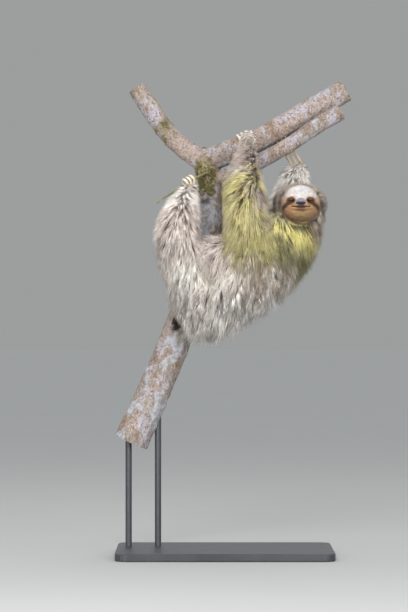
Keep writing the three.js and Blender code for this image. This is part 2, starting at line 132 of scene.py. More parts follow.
# Hollows in the bark: middle, half sizes and depth.
PITS = [
    ((-97, 3, 472), (11, 16, 15), 6),  # knot hole
    ((-46, -16, 731.5), (5.5, 6, 5.5), 6),  # end of the broken stub
]

FLESH_NODES = ["chest", "rump", "neck", "tail", "head"] + [
    f"{part}_{side}"
    for part in ("upper_arm", "forearm", "hand", "thigh", "shin", "foot")
    for side in ("left", "right")
]
WOOD_NODES = ["perch_stem", "perch_branch_left", "perch_branch_right", "perch_branch_lower"]

TUFT_RINGS = 2
TUFT_PATCH = 0.003  # side of a tuft's patch in the map OFBake
MOST_TUFTS = 19800  # in one piece, of ten triangles each
MOST_IN, MOST_OUT = 30, 14  # how far a tuft's tip is bent to meet the outline
MOSS_TUFTS = 5200
VIEW_MIDDLE, VIEW_HEIGHT = (-0.042, -0.10, 0.508), 1.224  # what the camera shows, in metres

# ------------------------------------------------------------------ numbers in space


def unit(v):
    v = np.asarray(v, float)
    return v / np.maximum(np.linalg.norm(v, axis=-1, keepdims=True), 1e-9)


def ease(low, high, value):
    """0 below low, 1 above high, and smooth between them."""
    t = np.clip((value - low) / (high - low), 0, 1)
    return t * t * (3 - 2 * t)


def ripple(p, wavelength, seed):
    """Three smooth wandering numbers at each place, each roughly from -1 to 1."""
    rng = np.random.RandomState(seed)
    total = np.zeros((len(p), 3))
    waves = 5
    for _ in range(waves):
        way = unit(rng.normal(size=(3, 3)))
        reach = 2 * math.pi / (wavelength * rng.uniform(0.6, 1.5, 3))
        total += np.sin(p @ way.T * reach + rng.uniform(0, 6.28, 3))
    return total / waves ** 0.5


def course(joints, per_span=7):
    """Places and radii, in metres, on the smooth line through the joints."""
    at = np.array([j[0] for j in joints], float) * MM
    radius = np.array([j[1] for j in joints], float) * MM
    ends = np.array([2 * at[0] - at[1], *at, 2 * at[-1] - at[-2]])
    places, radii = [], []
    for i in range(len(at) - 1):
        p = ends[i : i + 4]
        k = np.cumsum([0] + [np.linalg.norm(b - a) ** 0.5 for a, b in zip(p, p[1:])])
        for u in np.arange(per_span) / per_span:
            t = k[1] + u * (k[2] - k[1])
            one = [
                ((k[j + 1] - t) * p[j] + (t - k[j]) * p[j + 1]) / (k[j + 1] - k[j])
                for j in range(3)
            ]
            two = [
                ((k[j + 2] - t) * one[j] + (t - k[j]) * one[j + 1]) / (k[j + 2] - k[j])
                for j in range(2)
            ]
            places.append(((k[2] - t) * two[0] + (t - k[1]) * two[1]) / (k[2] - k[1]))
            radii.append(radius[i] + u * (radius[i + 1] - radius[i]))
    return np.array(places + [at[-1]]), np.array(radii + [radius[-1]])


COURSES = {name: course(joints) for name, joints in LENGTHS.items()}


def near_course(name, p):
    """Distance outside a length's coat, how far along it (0 to 1), and which way it runs there."""
    places, radii = COURSES[name]
    best = np.full(len(p), np.inf)
    along = np.zeros(len(p))
    way = np.zeros((len(p), 3))
    last = len(places) - 1
    for i in range(last):
        a, ab = places[i], places[i + 1] - places[i]
        t = np.clip((p - a) @ ab / (ab @ ab), 0, 1)
        gone = np.linalg.norm(p - a - t[:, None] * ab, axis=1)
        gone = gone - radii[i] - t * (radii[i + 1] - radii[i])
        closer = gone < best
        best = np.where(closer, gone, best)
        along = np.where(closer, (i + t) / last, along)
        way[closer] = unit(ab)
    return best, along, way


def near_form(p, middle, half):
    """Rough distance outside an ellipsoid given in millimetres."""
    half = np.array(half) * MM
    q = (p - np.array(middle) * MM) / half
    k = np.linalg.norm(q, axis=1)
    return k * (k - 1) / np.maximum(np.linalg.norm(q / half, axis=1), 1e-6)


def oval(p, middle, half):
    """How far each place is from the middle of an ellipsoid: 1 is on its surface."""
    return np.linalg.norm((p - np.array(middle)) / np.array(half), axis=1)


def near_head(p):
    """Rough distance outside the head's coat."""
    forms = HEAD_FORMS.values()
    return np.min([near_form(p, middle, coat) for middle, coat, _ in forms], axis=0)


def coat_depth(radius):
    """How deep the flesh lies under the coat, from the radius of the coat."""
    return np.clip(0.44 * (radius - 8.5 * MM), 2.0 * MM, 21 * MM)


REGIONS = ["spine", "tail", "arm_left", "arm_right", "leg_left", "leg_right", "head"]
TRUNK = ("spine", "belly", "drape", "breast")


def regions(p):
    """How much each place belongs to each region, and how deep it lies under the coat."""

    def outside(name):
        if name == "head":
            return near_head(p)
        parts = TRUNK if name == "spine" else (name,)
        return np.min([near_course(part, p)[0] for part in parts], axis=0)

    gone = np.array([outside(name) for name in REGIONS]).T
    nearest = gone.min(1, keepdims=True)
    share = np.exp((nearest - gone) / (7 * MM))
    return share / share.sum(1, keepdims=True), -nearest[:, 0]


# ------------------------------------------------------------------ the face's plan


def face_plan(p):
    """Sideways and upward place on the face in millimetres, and how bare of long hair it is."""
    x, y, z = (p / MM).T
    x = x - FACE_X
    height = np.where(z > FACE_Z, FACE_UP, FACE_DOWN)
    half = FACE_HALF * np.sqrt(np.clip(1 - ((z - FACE_Z) / height) ** 2, 0, 1))
    inside = ease(3.5, -3.5, np.abs(x) - half) * ease(758, 748, z) * ease(668, 674, z)
    behind = 16 * ease(692, 678, z)  # the throat lies behind the chin, and is not part of the face
    return x, z, inside * ease(-110 - behind, -120 - behind, y)


def blot(x, z, middle, half, soft=0.35, lean=0.0):
    """A soft-edged oval on the face, leaning sideways by lean for each millimetre up."""
    dx = x - middle[0] - lean * (z - middle[1])
    reach = np.hypot(dx / half[0], (z - middle[1]) / half[1])
    return ease(1 + soft, 1 - soft, reach)


def stroke(x, z, start, end, width, soft=1.2):
    """A soft-edged line on the face, whose width goes from the first to the second value."""
    a, ab = np.array(start, float), np.array(end, float) - np.array(start, float)
    t = np.clip(((x - a[0]) * ab[0] + (z - a[1]) * ab[1]) / (ab @ ab), 0, 1)
    gone = np.hypot(x - a[0] - t * ab[0], z - a[1] - t * ab[1])
    half = width[0] + t * (width[1] - width[0])
    return ease(half + soft, half - soft, gone)


def mouth_line(x):
    """Height of the closed mouth: a slight smile."""
    return MOUTH_Z + 2.0 * (np.abs(x) / MOUTH_HALF) ** 2


def near_eyes(x, z):
    """Distance from the nearer eye, on the face's plan."""
    return np.min([np.hypot(x + FACE_X - ex, z - ez) for ex, _, ez in EYES.values()], axis=0)


# ------------------------------------------------------------------ settings


def colour(name, description, default):
    return FloatVectorProperty(
        name=name, description=description, subtype="COLOR", size=3, min=0, max=1, default=default
    )


def length(name, description, default):
    return FloatProperty(name=name, description=description, default=default, min=0, unit="LENGTH")


class SlothCoatSettings(bpy.types.PropertyGroup):
    tufts: IntProperty(
        name="Tufts", description="Tufts on the body, limbs and crown", default=118000, min=1000
    )
    face_tufts: IntProperty(
        name="Face tufts", description="Short tufts on the face", default=18000, min=500
    )
    seed: IntProperty(name="Seed", description="Changes how the tufts fall", default=7, min=0)
    longest: length("Longest tuft", "Length of the longest tufts on the back", 0.062)
    finest: length("Finest tuft", "Width of the finest tufts on the face", 0.0005)
    fur: colour("Fur", "Grey-brown of the body", (0.54, 0.465, 0.385))
    pale: colour("Pale fur", "Whitish streaks and lower body", (0.96, 0.935, 0.90))
    algae: colour("Algae", "Green-yellow growth on the arm and chest", (0.50, 0.45, 0.165))
    # On the flank between the limbs this pink also serves as painted shade: the purple cast of the
    # shaded flank.
    pink: colour("Flank", "Pinkish grey of flank and legs", (0.62, 0.515, 0.49))
    tan: colour("Tan fur", "Warm patch behind the arm", (0.58, 0.44, 0.28))
    yellow: colour("Chest", "Yellow growth under the chin", (0.72, 0.66, 0.22))
    ash: colour("Wrist fur", "Pinkish ash of the wrist and the arm's edge", (0.36, 0.29, 0.255))
    # Painted shade: the algae's colour where the bottom of the chest lies in shade.
    olive: colour("Shaded algae", "Dark olive at the bottom of the chest", (0.20, 0.185, 0.06))
    # Darker fur in random streaks and blotches, and painted shade between the locks, in creases and
    # under the body.
    dark_fur_and_shade: colour("Dark fur", "Shaded fur between the locks", (0.19, 0.145, 0.11))


class SlothFaceSettings(bpy.types.PropertyGroup):
    white: colour("Forehead", "White of the forehead", (0.77, 0.745, 0.74))
    cheek: colour("Cheeks", "Tan of cheeks and chin", (0.52, 0.30, 0.15))
    amber: colour("Eye rims", "Orange fur over the eyes", (0.70, 0.40, 0.20))
    mask: colour("Eye stripes", "Dark brown stripes from the eyes", (0.068, 0.029, 0.016))
    ruff: colour("Ruff", "Brown-grey hair round the face", (0.40, 0.315, 0.25))
    lip: colour("Lips", "Dark lips", (0.03, 0.02, 0.018))
    nose: colour("Nose", "Bare skin of the nose", (0.010, 0.008, 0.010))
    iris: colour("Iris", "Brown of the eyes", (0.045, 0.018, 0.008))


class SlothPerchSettings(bpy.types.PropertyGroup):
    relief: length("Bark relief", "How far the bark's lumps stand out", 0.0016)
    bark: colour("Bark", "Pinkish grey-brown of the bark", (0.215, 0.175, 0.15))
    lichen: colour("Lichen", "Pale crust on the bark", (0.34, 0.35, 0.385))
    moss: colour("Moss", "Green-brown moss at the fork", (0.19, 0.16, 0.065))
    claw: colour("Claws", "Cream horn of the claws", (0.80, 0.70, 0.56))


class SlothStageSettings(bpy.types.PropertyGroup):
    paint: colour("Stand paint", "Satin dark grey of the stand", (0.03, 0.032, 0.036))
    floor: colour("Floor", "Plain grey floor", (0.342, 0.342, 0.337))
    distance: length("Camera distance", "From the camera to the animal", 6.0)


def settings(group):
    """What a user can change of the coat, the face, the perch or the stage."""
    return getattr(bpy.context.scene, "sloth_" + group)


# ------------------------------------------------------------------ markings

# Marks on the body: colour, middle, half sizes and strength. Later ones lie over earlier ones. Some
# of them are painted light or shade, as noted.
MARKS = [
    ("pink", (-92, -110, 670), (62, 90, 90), 0.55),
    # painted shade: the pink-purple cast of the shaded flank between the limbs
    ("pink", (0, -140, 632), (44, 70, 40), 0.75),
    ("pink", (128, 20, 730), (60, 60, 90), 0.5),
    ("pink", (60, -60, 560), (80, 60, 60), 0.25),
    ("algae", (40, -120, 750), (44, 70, 40), 0.8),
    ("algae", (48, -160, 680), (62, 70, 62), 0.88),
    ("algae", (96, -150, 640), (70, 70, 44), 0.82),
    ("algae", (140, -130, 634), (66, 80, 40), 1.0),
    ("yellow", (146, -150, 644), (50, 70, 32), 0.7),
    ("yellow", (32, -150, 744), (26, 50, 24), 0.55),
    # painted shadow: a dark line where the forearm's hair falls over the upper arm
    ("dark_fur_and_shade", (42, -140, 741), (34, 50, 8), 0.7),
    ("ash", (77, -120, 728), (19, 70, 60), 0.95),
    ("algae", (132, -140, 668), (48, 44, 32), 1.0),
    ("yellow", (138, -150, 670), (44, 44, 28), 0.95),
    # painted shade: the algae darkened at the bottom of the chest
    ("olive", (126, -130, 626), (76, 80, 29), 1.0),
    ("ash", (200, -96, 660), (24, 60, 50), 0.9),
    # painted shade on the right side of the chest
    ("dark_fur_and_shade", (196, -100, 652), (24, 60, 40), 0.65),
    # partly the pale fur of the far shoulder, partly painted light that lifts the shade between the
    # near arm and the head
    ("pink", (92, -20, 706), (44, 90, 60), 0.8),
    ("pale", (96, -10, 730), (44, 70, 60), 0.7),
    ("pale", (88, -30, 690), (30, 60, 50), 0.5),
    # painted shade: the same pink-purple cast of the shaded flank, nearer the leg
    ("pink", (-26, -110, 628), (44, 60, 40), 0.6),
    ("ash", (44, -80, 806), (44, 70, 42), 0.9),
    # painted shade: dark gaps between the locks at the bottom of the chest
    ("dark_fur_and_shade", (120, -160, 604), (50, 60, 16), 0.3),
    # painted shade: the flank between the limbs darkened
    ("dark_fur_and_shade", (-36, -110, 634), (50, 60, 40), 0.22),
    ("algae", (-70, -160, 590), (40, 60, 36), 0.35),
    ("tan", (86, -165, 590), (40, 50, 20), 0.6),
    ("tan", (-60, -180, 600), (26, 50, 22), 0.35),
    ("pale", (40, -110, 486), (150, 110, 60), 0.8),
    ("pale", (112, -120, 528), (66, 90, 38), 0.85),
    ("pale", (-76, -175, 580), (44, 70, 52), 0.85),
    ("pale", (16, -175, 548), (44, 70, 66), 0.7),
    ("pale", (-128, -120, 640), (34, 90, 90), 0.1),
    ("tan", (62, -175, 566), (26, 50, 22), 0.3),
    ("pale", (-76, -84, 722), (34, 40, 30), 0.7),
    # partly the far arm's pale fur, partly painted light where it lies in shade
    ("pale", (130, 10, 760), (54, 60, 54), 0.8),
    ("pale", (120, -20, 640), (50, 60, 60), 0.2),
    # painted shade: a dark crease at the bottom of the chest
    ("dark_fur_and_shade", (90, -168, 606), (26, 40, 7), 0.45),
    # painted shade under the chin
    ("dark_fur_and_shade", (138, -114, 686), (24, 24, 7), 0.6),
    ("fur", (52, -150, 592), (70, 70, 36), 0.7),
    # painted shade: darker under the near arm, at the bottom of the chest
    ("dark_fur_and_shade", (60, -150, 600), (60, 60, 16), 0.35),
    # painted shade under the body
    ("dark_fur_and_shade", (12, -130, 484), (54, 80, 12), 0.45),
    ("dark_fur_and_shade", (76, -70, 512), (40, 60, 14), 0.45),
]


def markings(p):
    """Colour at each place of the body, the same for skin and coat, with painted light and shade
    among the marks.
    """
    coat, face = settings("coat"), settings("face")
    ragged = p / MM + 8 * ripple(p, 0.03, 3) + 5 * ripple(p, 0.011, 4)
    tone = np.tile(np.array(coat.fur), (len(p), 1))

    def lay(paint, amount):
        paint = np.array(getattr(coat, paint) if isinstance(paint, str) else paint)
        tone[:] += (paint - tone) * np.clip(amount, 0, 1)[:, None]

    streaks = ripple(p * np.array([1, 1, 0.3]), 0.014, 5)[:, 0]
    lay("pale", 0.45 * ease(0.2, 1.0, streaks))
    lay("dark_fur_and_shade", 0.28 * ease(-0.3, -1.1, streaks))
    for name, middle, half, strength in MARKS:
        lay(name, strength * ease(1.25, 0.55, oval(ragged, middle, half)))
    low = ease(615, 585, p[:, 2] / MM)
    blotches = ripple(p * np.array([1, 1, 0.45]), 0.04, 6)[:, 0]
    lay("dark_fur_and_shade", 0.40 * low * ease(0.1, 1.0, blotches))
    lay("pale", 0.50 * low * ease(-0.1, -1.0, blotches))

    # the head: a brown ruff with a green edge, lightened at the edge as painted light, and a dark
    # line under the chin
    x, z, inside = face_plan(p)
    share, _ = regions(p)
    throat = ease(34, 22, np.abs(x)) * ease(-90, -105, p[:, 1] / MM)
    head = share[:, REGIONS.index("head")] * ease(668 + 16 * throat, 684 + 10 * throat, z)
    lay(face.ruff, 0.85 * head)
    away = np.hypot(x / 56, (z - 711) / 45)
    lay("algae", 0.7 * head * ease(0.86, 1.0, away))
    # painted light: the hood lightened at its edge, against the shade of its sides
    lay("pale", 0.4 * head * ease(0.92, 1.08, away))
    ears = sum(blot(x, z, (side * 42, 708), (4.2, 13), 0.4, -0.15 * side) for side in (-1, 1))
    lay(face.lip, 0.85 * ears * head)

    # the face itself
    lay(face.cheek, inside)
    lay(face.white, inside * ease(715, 727, z + 0.10 * np.abs(x)))
    lay(face.white, inside * blot(x, z, (0, 716), (10.5, 9), 0.4) * 0.85)
    lay(face.cheek, inside * 0.6 * blot(np.abs(x), z, (31, 716), (6, 8), 0.6))
    for side in (-1, 1):
        lay(face.amber, inside * 0.7 * blot(x, z, (side * 19, 724.5), (8.5, 3.4), 0.5))
        lay(face.amber, inside * 0.45 * blot(x, z, (side * 30, 718), (5, 6), 0.6))
        lay(face.mask, inside * blot(x, z, (side * 19.5, 717.8), (9.2, 6.4), 0.35, 0.1 * side))
        lay(face.mask, inside * stroke(x, z, (side * 21, 716), (side * 34, 703), (5.0, 3.2), 2.2))
        stripe = stroke(x, z, (side * 34, 703), (side * 36, 690), (2.8, 1.4), 1.6)
        lay(face.mask, inside * 0.55 * stripe)
    thick = 0.9 + 0.9 * ease(13, 4, np.abs(x))
    lips = ease(thick + 0.8, thick - 0.4, np.abs(z - mouth_line(x) - 0.6))
    lips = lips * ease(MOUTH_HALF + 1, MOUTH_HALF - 3, np.abs(x))
    lay(face.lip, inside * lips)
    lay(face.lip, inside * 0.6 * blot(x, z, (0.5, 699.0), (10, 4.5), 0.45))
    # painted shadow: darker between the nose and the mouth, under the nose
    lay(face.mask, inside * 0.9 * blot(x, z, (0, 706.2), (8.5, 3.2), 0.5))
    lay("algae", inside * 0.25 * blot(x, z, (4, 686), (20, 8), 0.6))
    lay(face.mask, inside * 0.45 * ease(684, 673, z - 0.12 * np.abs(x)))
    chin = [(-40, 689), (-25, 680), (-9, 673), (5, 670), (30, 674)]
    under = np.max([stroke(x, z, a, b, (2.4, 2.4), 2) for a, b in zip(chin, chin[1:])], axis=0)
    lay(face.mask, 0.85 * under * ease(-90, -102, p[:, 1] / MM))
    return tone


# ------------------------------------------------------------------ meshes


def keep(name, mesh, slot, *replaced):
    """Links a finished mesh at the origin under the root, and hides the parts that it replaces. The
    slot is not used.
    """
    piece = bpy.data.objects.new(name, mesh)
    bpy.context.scene.collection.objects.link(piece)
    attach(piece, "root")
    if replaced:
        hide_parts(*replaced)
    return piece


def mesh_from(bm, name, *materials, smooth=True):
    """Turns a bmesh into a mesh with its materials, and frees it."""
    mesh = bpy.data.meshes.new(name)
    bm.to_mesh(mesh)
    bm.free()
    mesh.polygons.foreach_set("use_smooth", np.full(len(mesh.polygons), smooth))
    for material in materials:
        mesh.materials.append(material)
    return mesh


def bmesh_from(*meshes):
    """A bmesh that holds all the given meshes."""
    bm = bmesh.new()
    for mesh in meshes:
        bm.from_mesh(mesh)
    return bm


def ball(name, around, rings, radius, material):
    """A sphere round the origin, with its poles to the front and back."""
    bm = bmesh.new()
    turn = Matrix.Rotation(math.radians(90), 4, "X")
    bmesh.ops.create_uvsphere(bm, u_segments=around, v_segments=rings, radius=radius, matrix=turn)
    return mesh_from(bm, name, material)


def remeshed(mesh, voxel, rounds):
    """A new mesh: one even closed surface round the given one, smoothed a number of rounds."""
    piece = bpy.data.objects.new("scratch", mesh)
    bpy.context.scene.collection.objects.link(piece)
    remesh = piece.modifiers.new("Even", "REMESH")
    remesh.mode = "VOXEL"
    remesh.voxel_size = voxel
    smooth = piece.modifiers.new("Soft", "SMOOTH")
    smooth.factor = 0.5
    smooth.iterations = rounds
    evaluated = piece.evaluated_get(bpy.context.evaluated_depsgraph_get())
    made = bpy.data.meshes.new_from_object(evaluated)
    bpy.data.objects.remove(piece)
    bpy.data.meshes.remove(mesh)
    return made


def wood_from(name, nodes, voxel, rounds):
    """One even surface over some nodes of the wood."""
    bm = bmesh_from(*[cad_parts[node].data for node in nodes])
    bmesh.ops.remove_doubles(bm, verts=bm.verts, dist=1e-5)
    return remeshed(mesh_from(bm, name), voxel, rounds)


def rows(items, field, width, kind=float):
    """One field of all the items of a mesh, with a row for each item."""
    flat = np.empty(len(items) * width, kind)
    items.foreach_get(field, flat)
    return flat.reshape(-1, width)


def places_of(mesh):
    return rows(mesh.vertices, "co", 3)


def normals_of(mesh):
    return rows(mesh.vertices, "normal", 3)


def set_places(mesh, p):
    mesh.vertices.foreach_set("co", p.ravel())
    mesh.update()


def give(mesh, name, values):
    """Stores a number, vector or colour with each point of a mesh."""
    values = np.asarray(values, np.float32)
    kinds = {1: ("FLOAT", "value"), 3: ("FLOAT_VECTOR", "vector"), 4: ("FLOAT_COLOR", "color")}
    kind, field = kinds[values.size // len(values)]
    mesh.attributes.new(name, kind, "POINT").data.foreach_set(field, values.ravel())


def give_tone(mesh, tone):
    give(mesh, "tone", np.c_[tone, np.ones(len(tone))])


def sweep(bm, path, radii, sides, width, side):
    """Extrudes an oval section along a path in an empty bmesh, and closes both ends."""
    path = [Vector(p) for p in path]
    frames = []
    for i, at in enumerate(path):
        ahead = (path[min(i + 1, len(path) - 1)] - path[max(i - 1, 0)]).normalized()
        side = (side - ahead * side.dot(ahead)).normalized()
        turn = Matrix((side, ahead.cross(side), ahead)).transposed().to_4x4()
        size = Matrix.Diagonal((radii[i] * width, radii[i], radii[i], 1))
        frames.append(Matrix.Translation(at) @ turn @ size)
    bmesh.ops.create_circle(bm, cap_ends=True, segments=sides, radius=1, matrix=frames[0])
    edges = bm.edges[:]
    for before, after in zip(frames, frames[1:]):
        grown = bmesh.ops.extrude_edge_only(bm, edges=edges)["geom"]
        ring = [g for g in grown if isinstance(g, bmesh.types.BMVert)]
        edges = [g for g in grown if isinstance(g, bmesh.types.BMEdge)]
        edges = [e for e in edges if all(v in ring for v in e.verts)]
        bmesh.ops.transform(bm, matrix=after @ before.inverted(), verts=ring)
    bmesh.ops.contextual_create(bm, geom=edges)


# ------------------------------------------------------------------ materials


class Nodes:
    """A material's node tree, with short calls for the nodes that the finishes share."""

    def __init__(self, name, **constants):
        self.material = bpy.data.materials.new(name)
        self.material.use_nodes = True
        self.tree = self.material.node_tree
        self.shader = self.tree.nodes["Principled BSDF"]
        for socket, value in constants.items():
            self.shader.inputs[socket.replace("_", " ")].default_value = value

    def add(self, kind, inputs=(), **fields):
        node = self.tree.nodes.new("ShaderNode" + kind)
        for key, value in fields.items():
            setattr(node, key, value)
        for socket, value in dict(inputs).items():
            self.put(value, node.inputs[socket])
        return node

    def put(self, value, socket):
        if isinstance(value, bpy.types.NodeSocket):
            self.tree.links.new(value, socket)
        elif socket.type == "RGBA":
            socket.default_value = (*value, 1)
        else:
            socket.default_value = value

    def place(self, stretch=(1, 1, 1), at=(0, 0, 0)):
        coords = self.add("TexCoord").outputs["Object"]
        return self.add("Mapping", {"Vector": coords, "Scale": stretch, "Location": at}).outputs[0]

    def stored(self, name, output="Fac"):
        return self.add("Attribute", attribute_name=name).outputs[output]

    def noise(self, vector, scale, detail=3.0, rough=0.55):
        inputs = {"Vector": vector, "Scale": scale, "Detail": detail, "Roughness": rough}
        return self.add("TexNoise", inputs).outputs["Fac"]

    def cells(self, vector, scale):
        return self.add("TexVoronoi", {"Vector": vector, "Scale": scale}).outputs["Distance"]

    def fit(self, value, low, high, to_low=0.0, to_high=1.0):
        inputs = {0: value, 1: low, 2: high, 3: to_low, 4: to_high}
        return self.add("MapRange", inputs, interpolation_type="SMOOTHSTEP").outputs[0]

    def sum(self, a, b, operation="ADD"):
        return self.add("Math", {0: a, 1: b}, operation=operation).outputs[0]

    def times(self, a, b):
        return self.sum(a, b, "MULTIPLY")

    def mix(self, amount, a, b, blend="MIX"):
        node = self.add("Mix", data_type="RGBA", blend_type=blend)
        for socket, value in ((0, amount), (6, a), (7, b)):
            self.put(value, node.inputs[socket])
        return node.outputs[2]

    def tint(self, colour, by):
        return self.mix(1.0, colour, by, "MULTIPLY")

    def fade(self, value, low, high, a, b, least=0.0, most=1.0):
        """Colour a where the value is low, turning to b where it is high."""
        return self.mix(self.fit(value, low, high, least, most), a, b)

    def finish(self, base, roughness, height=None, distance=0.001, strength=0.6):
        self.put(base, self.shader.inputs["Base Color"])
        self.put(roughness, self.shader.inputs["Roughness"])
        if height is not None:
            bump = self.add("Bump", {"Height": height, "Distance": distance, "Strength": strength})
            self.put(bump.outputs[0], self.shader.inputs["Normal"])
        return self.material


def fur_material(name, dark_root, streak, tip, whitest):
    """Tufts: the body's markings, darker towards the root as painted shade deep in the coat, each
    tuft a little different.
    """
    n = Nodes(name, Specular_IOR_Level=0.25, Sheen_Weight=0.12, Sheen_Roughness=0.4)
    tone, chance, along = n.stored("tone", "Color"), n.stored("chance"), n.stored("along")
    blue = n.add("SeparateColor", {0: tone}).outputs["Blue"]
    paleness = n.fit(blue, 0.20, 0.45, 0.35 * whitest, whitest)
    bright = n.mix(paleness, n.tint(tone, (1.6, 1.55, 1.5)), settings("coat").pale)
    pale = n.fade(chance, 0.52, 0.74, tone, bright, 0.0, streak)
    varied = n.fade(chance, 0.42, 0.20, pale, n.tint(tone, (0.26, 0.22, 0.20)), 0.0, streak)
    fleck = n.noise(n.place(), 210.0)
    dusted = n.fade(fleck, 0.3, 0.7, (0.55, 0.52, 0.5), (1.0, 1.0, 1.0))
    mottled = n.mix(0.35, varied, dusted, "MULTIPLY")
    # painted shade: each tuft darkens towards its root, deep in the coat
    shaded = n.fade(along, 0.05, 0.7, mottled, (0.02, 0.01, 0.006), 1.0 - dark_root, 0.0)
    tipped = n.fade(along, 0.5, 1.0, shaded, bright, 0.0, tip)
    height = n.noise(n.place((1, 1, 0.25)), 1800.0, 1.0)
    return n.finish(tipped, n.fit(fleck, 0.2, 0.8, 0.55, 0.8), height, 0.0003, 0.4)


def skin_material():
    """Skin under the coat: the same markings, darkened as painted shade of the gaps in the coat,
    with a fine nap.
    """
    n = Nodes("sloth_skin", Specular_IOR_Level=0.2, Sheen_Weight=0.1)
    grain = n.noise(n.place((1, 1, 0.35)), 700.0, 4.0)
    speckle = n.noise(n.place(), 120.0)
    # painted shade: the skin darker than the coat, mottled by a fine grain
    shade = n.fade(grain, 0.3, 0.75, (0.45, 0.42, 0.40), (0.95, 0.93, 0.9))
    base = n.tint(n.stored("tone", "Color"), shade)
    return n.finish(base, n.fit(speckle, 0.3, 0.7, 0.6, 0.85), grain, 0.0006, 0.8)


def lid_material():
    """Thin wrinkled skin of the eyelids, as dark as the stripes."""
    n = Nodes("sloth_lid", Specular_IOR_Level=0.45)
    grain = n.noise(n.place((1, 1, 3)), 900.0, 4.0)
    dark = settings("face").mask
    base = n.fade(grain, 0.35, 0.7, dark, [0.6 * c for c in dark])
    return n.finish(base, n.fit(grain, 0.3, 0.7, 0.35, 0.55), grain, 0.0003, 0.7)


def eye_material():
    """Wet eye: a dark brown iris round a black pupil."""
    n = Nodes("sloth_eye", IOR=1.4, Specular_IOR_Level=0.3, Coat_Weight=0.12, Coat_Roughness=0.03)
    gaze = n.stored("gaze")
    rays = n.noise(n.place(), 2400.0, 3.0)
    iris = n.fade(rays, 0.35, 0.7, settings("face").iris, (0.035, 0.018, 0.012))
    ringed = n.fade(gaze, 0.36, 0.42, (0.002, 0.0015, 0.001), iris)
    white = n.fade(gaze, 0.86, 0.95, ringed, (0.03, 0.018, 0.014))
    return n.finish(white, n.fit(rays, 0.3, 0.7, 0.04, 0.10))


def nose_material():
    """Moist pebbled skin, greyer on top as a painted highlight."""
    n = Nodes("sloth_nose", Specular_IOR_Level=0.35, Coat_Weight=0.12, Coat_Roughness=0.25)
    skin = settings("face").nose
    pebbles = n.cells(n.place(), 1500.0)
    height = n.add("SeparateXYZ", {0: n.place()}).outputs["Z"]
    # painted highlight: above a set height the nose turns lilac-grey
    base = n.fade(height, 0.7126, 0.7150, skin, (0.20, 0.17, 0.205))
    # random patches of the dark skin show through the painted highlight
    worn = n.fade(n.noise(n.place(), 500.0), 0.4, 0.7, base, skin, 0.0, 0.35)
    return n.finish(worn, n.fit(pebbles, 0.2, 0.6, 0.28, 0.5), pebbles, 0.0004, 0.5)


def claw_material():
    """Horn: cream with brown streaks, darker at the root."""
    n = Nodes("sloth_claw", Specular_IOR_Level=0.5, Coat_Weight=0.15, Coat_Roughness=0.2)
    streaks = n.noise(n.stored("lengthwise", "Vector"), 1.0, 4.0)
    base = n.fade(streaks, 0.4, 0.7, settings("perch").claw, (0.36, 0.24, 0.13), 0.0, 0.7)
    rooted = n.fade(n.stored("along"), 0.0, 0.35, base, (0.22, 0.15, 0.10), 0.55, 0.0)
    return n.finish(rooted, n.fit(streaks, 0.3, 0.7, 0.3, 0.5), streaks, 0.0003, 0.4)


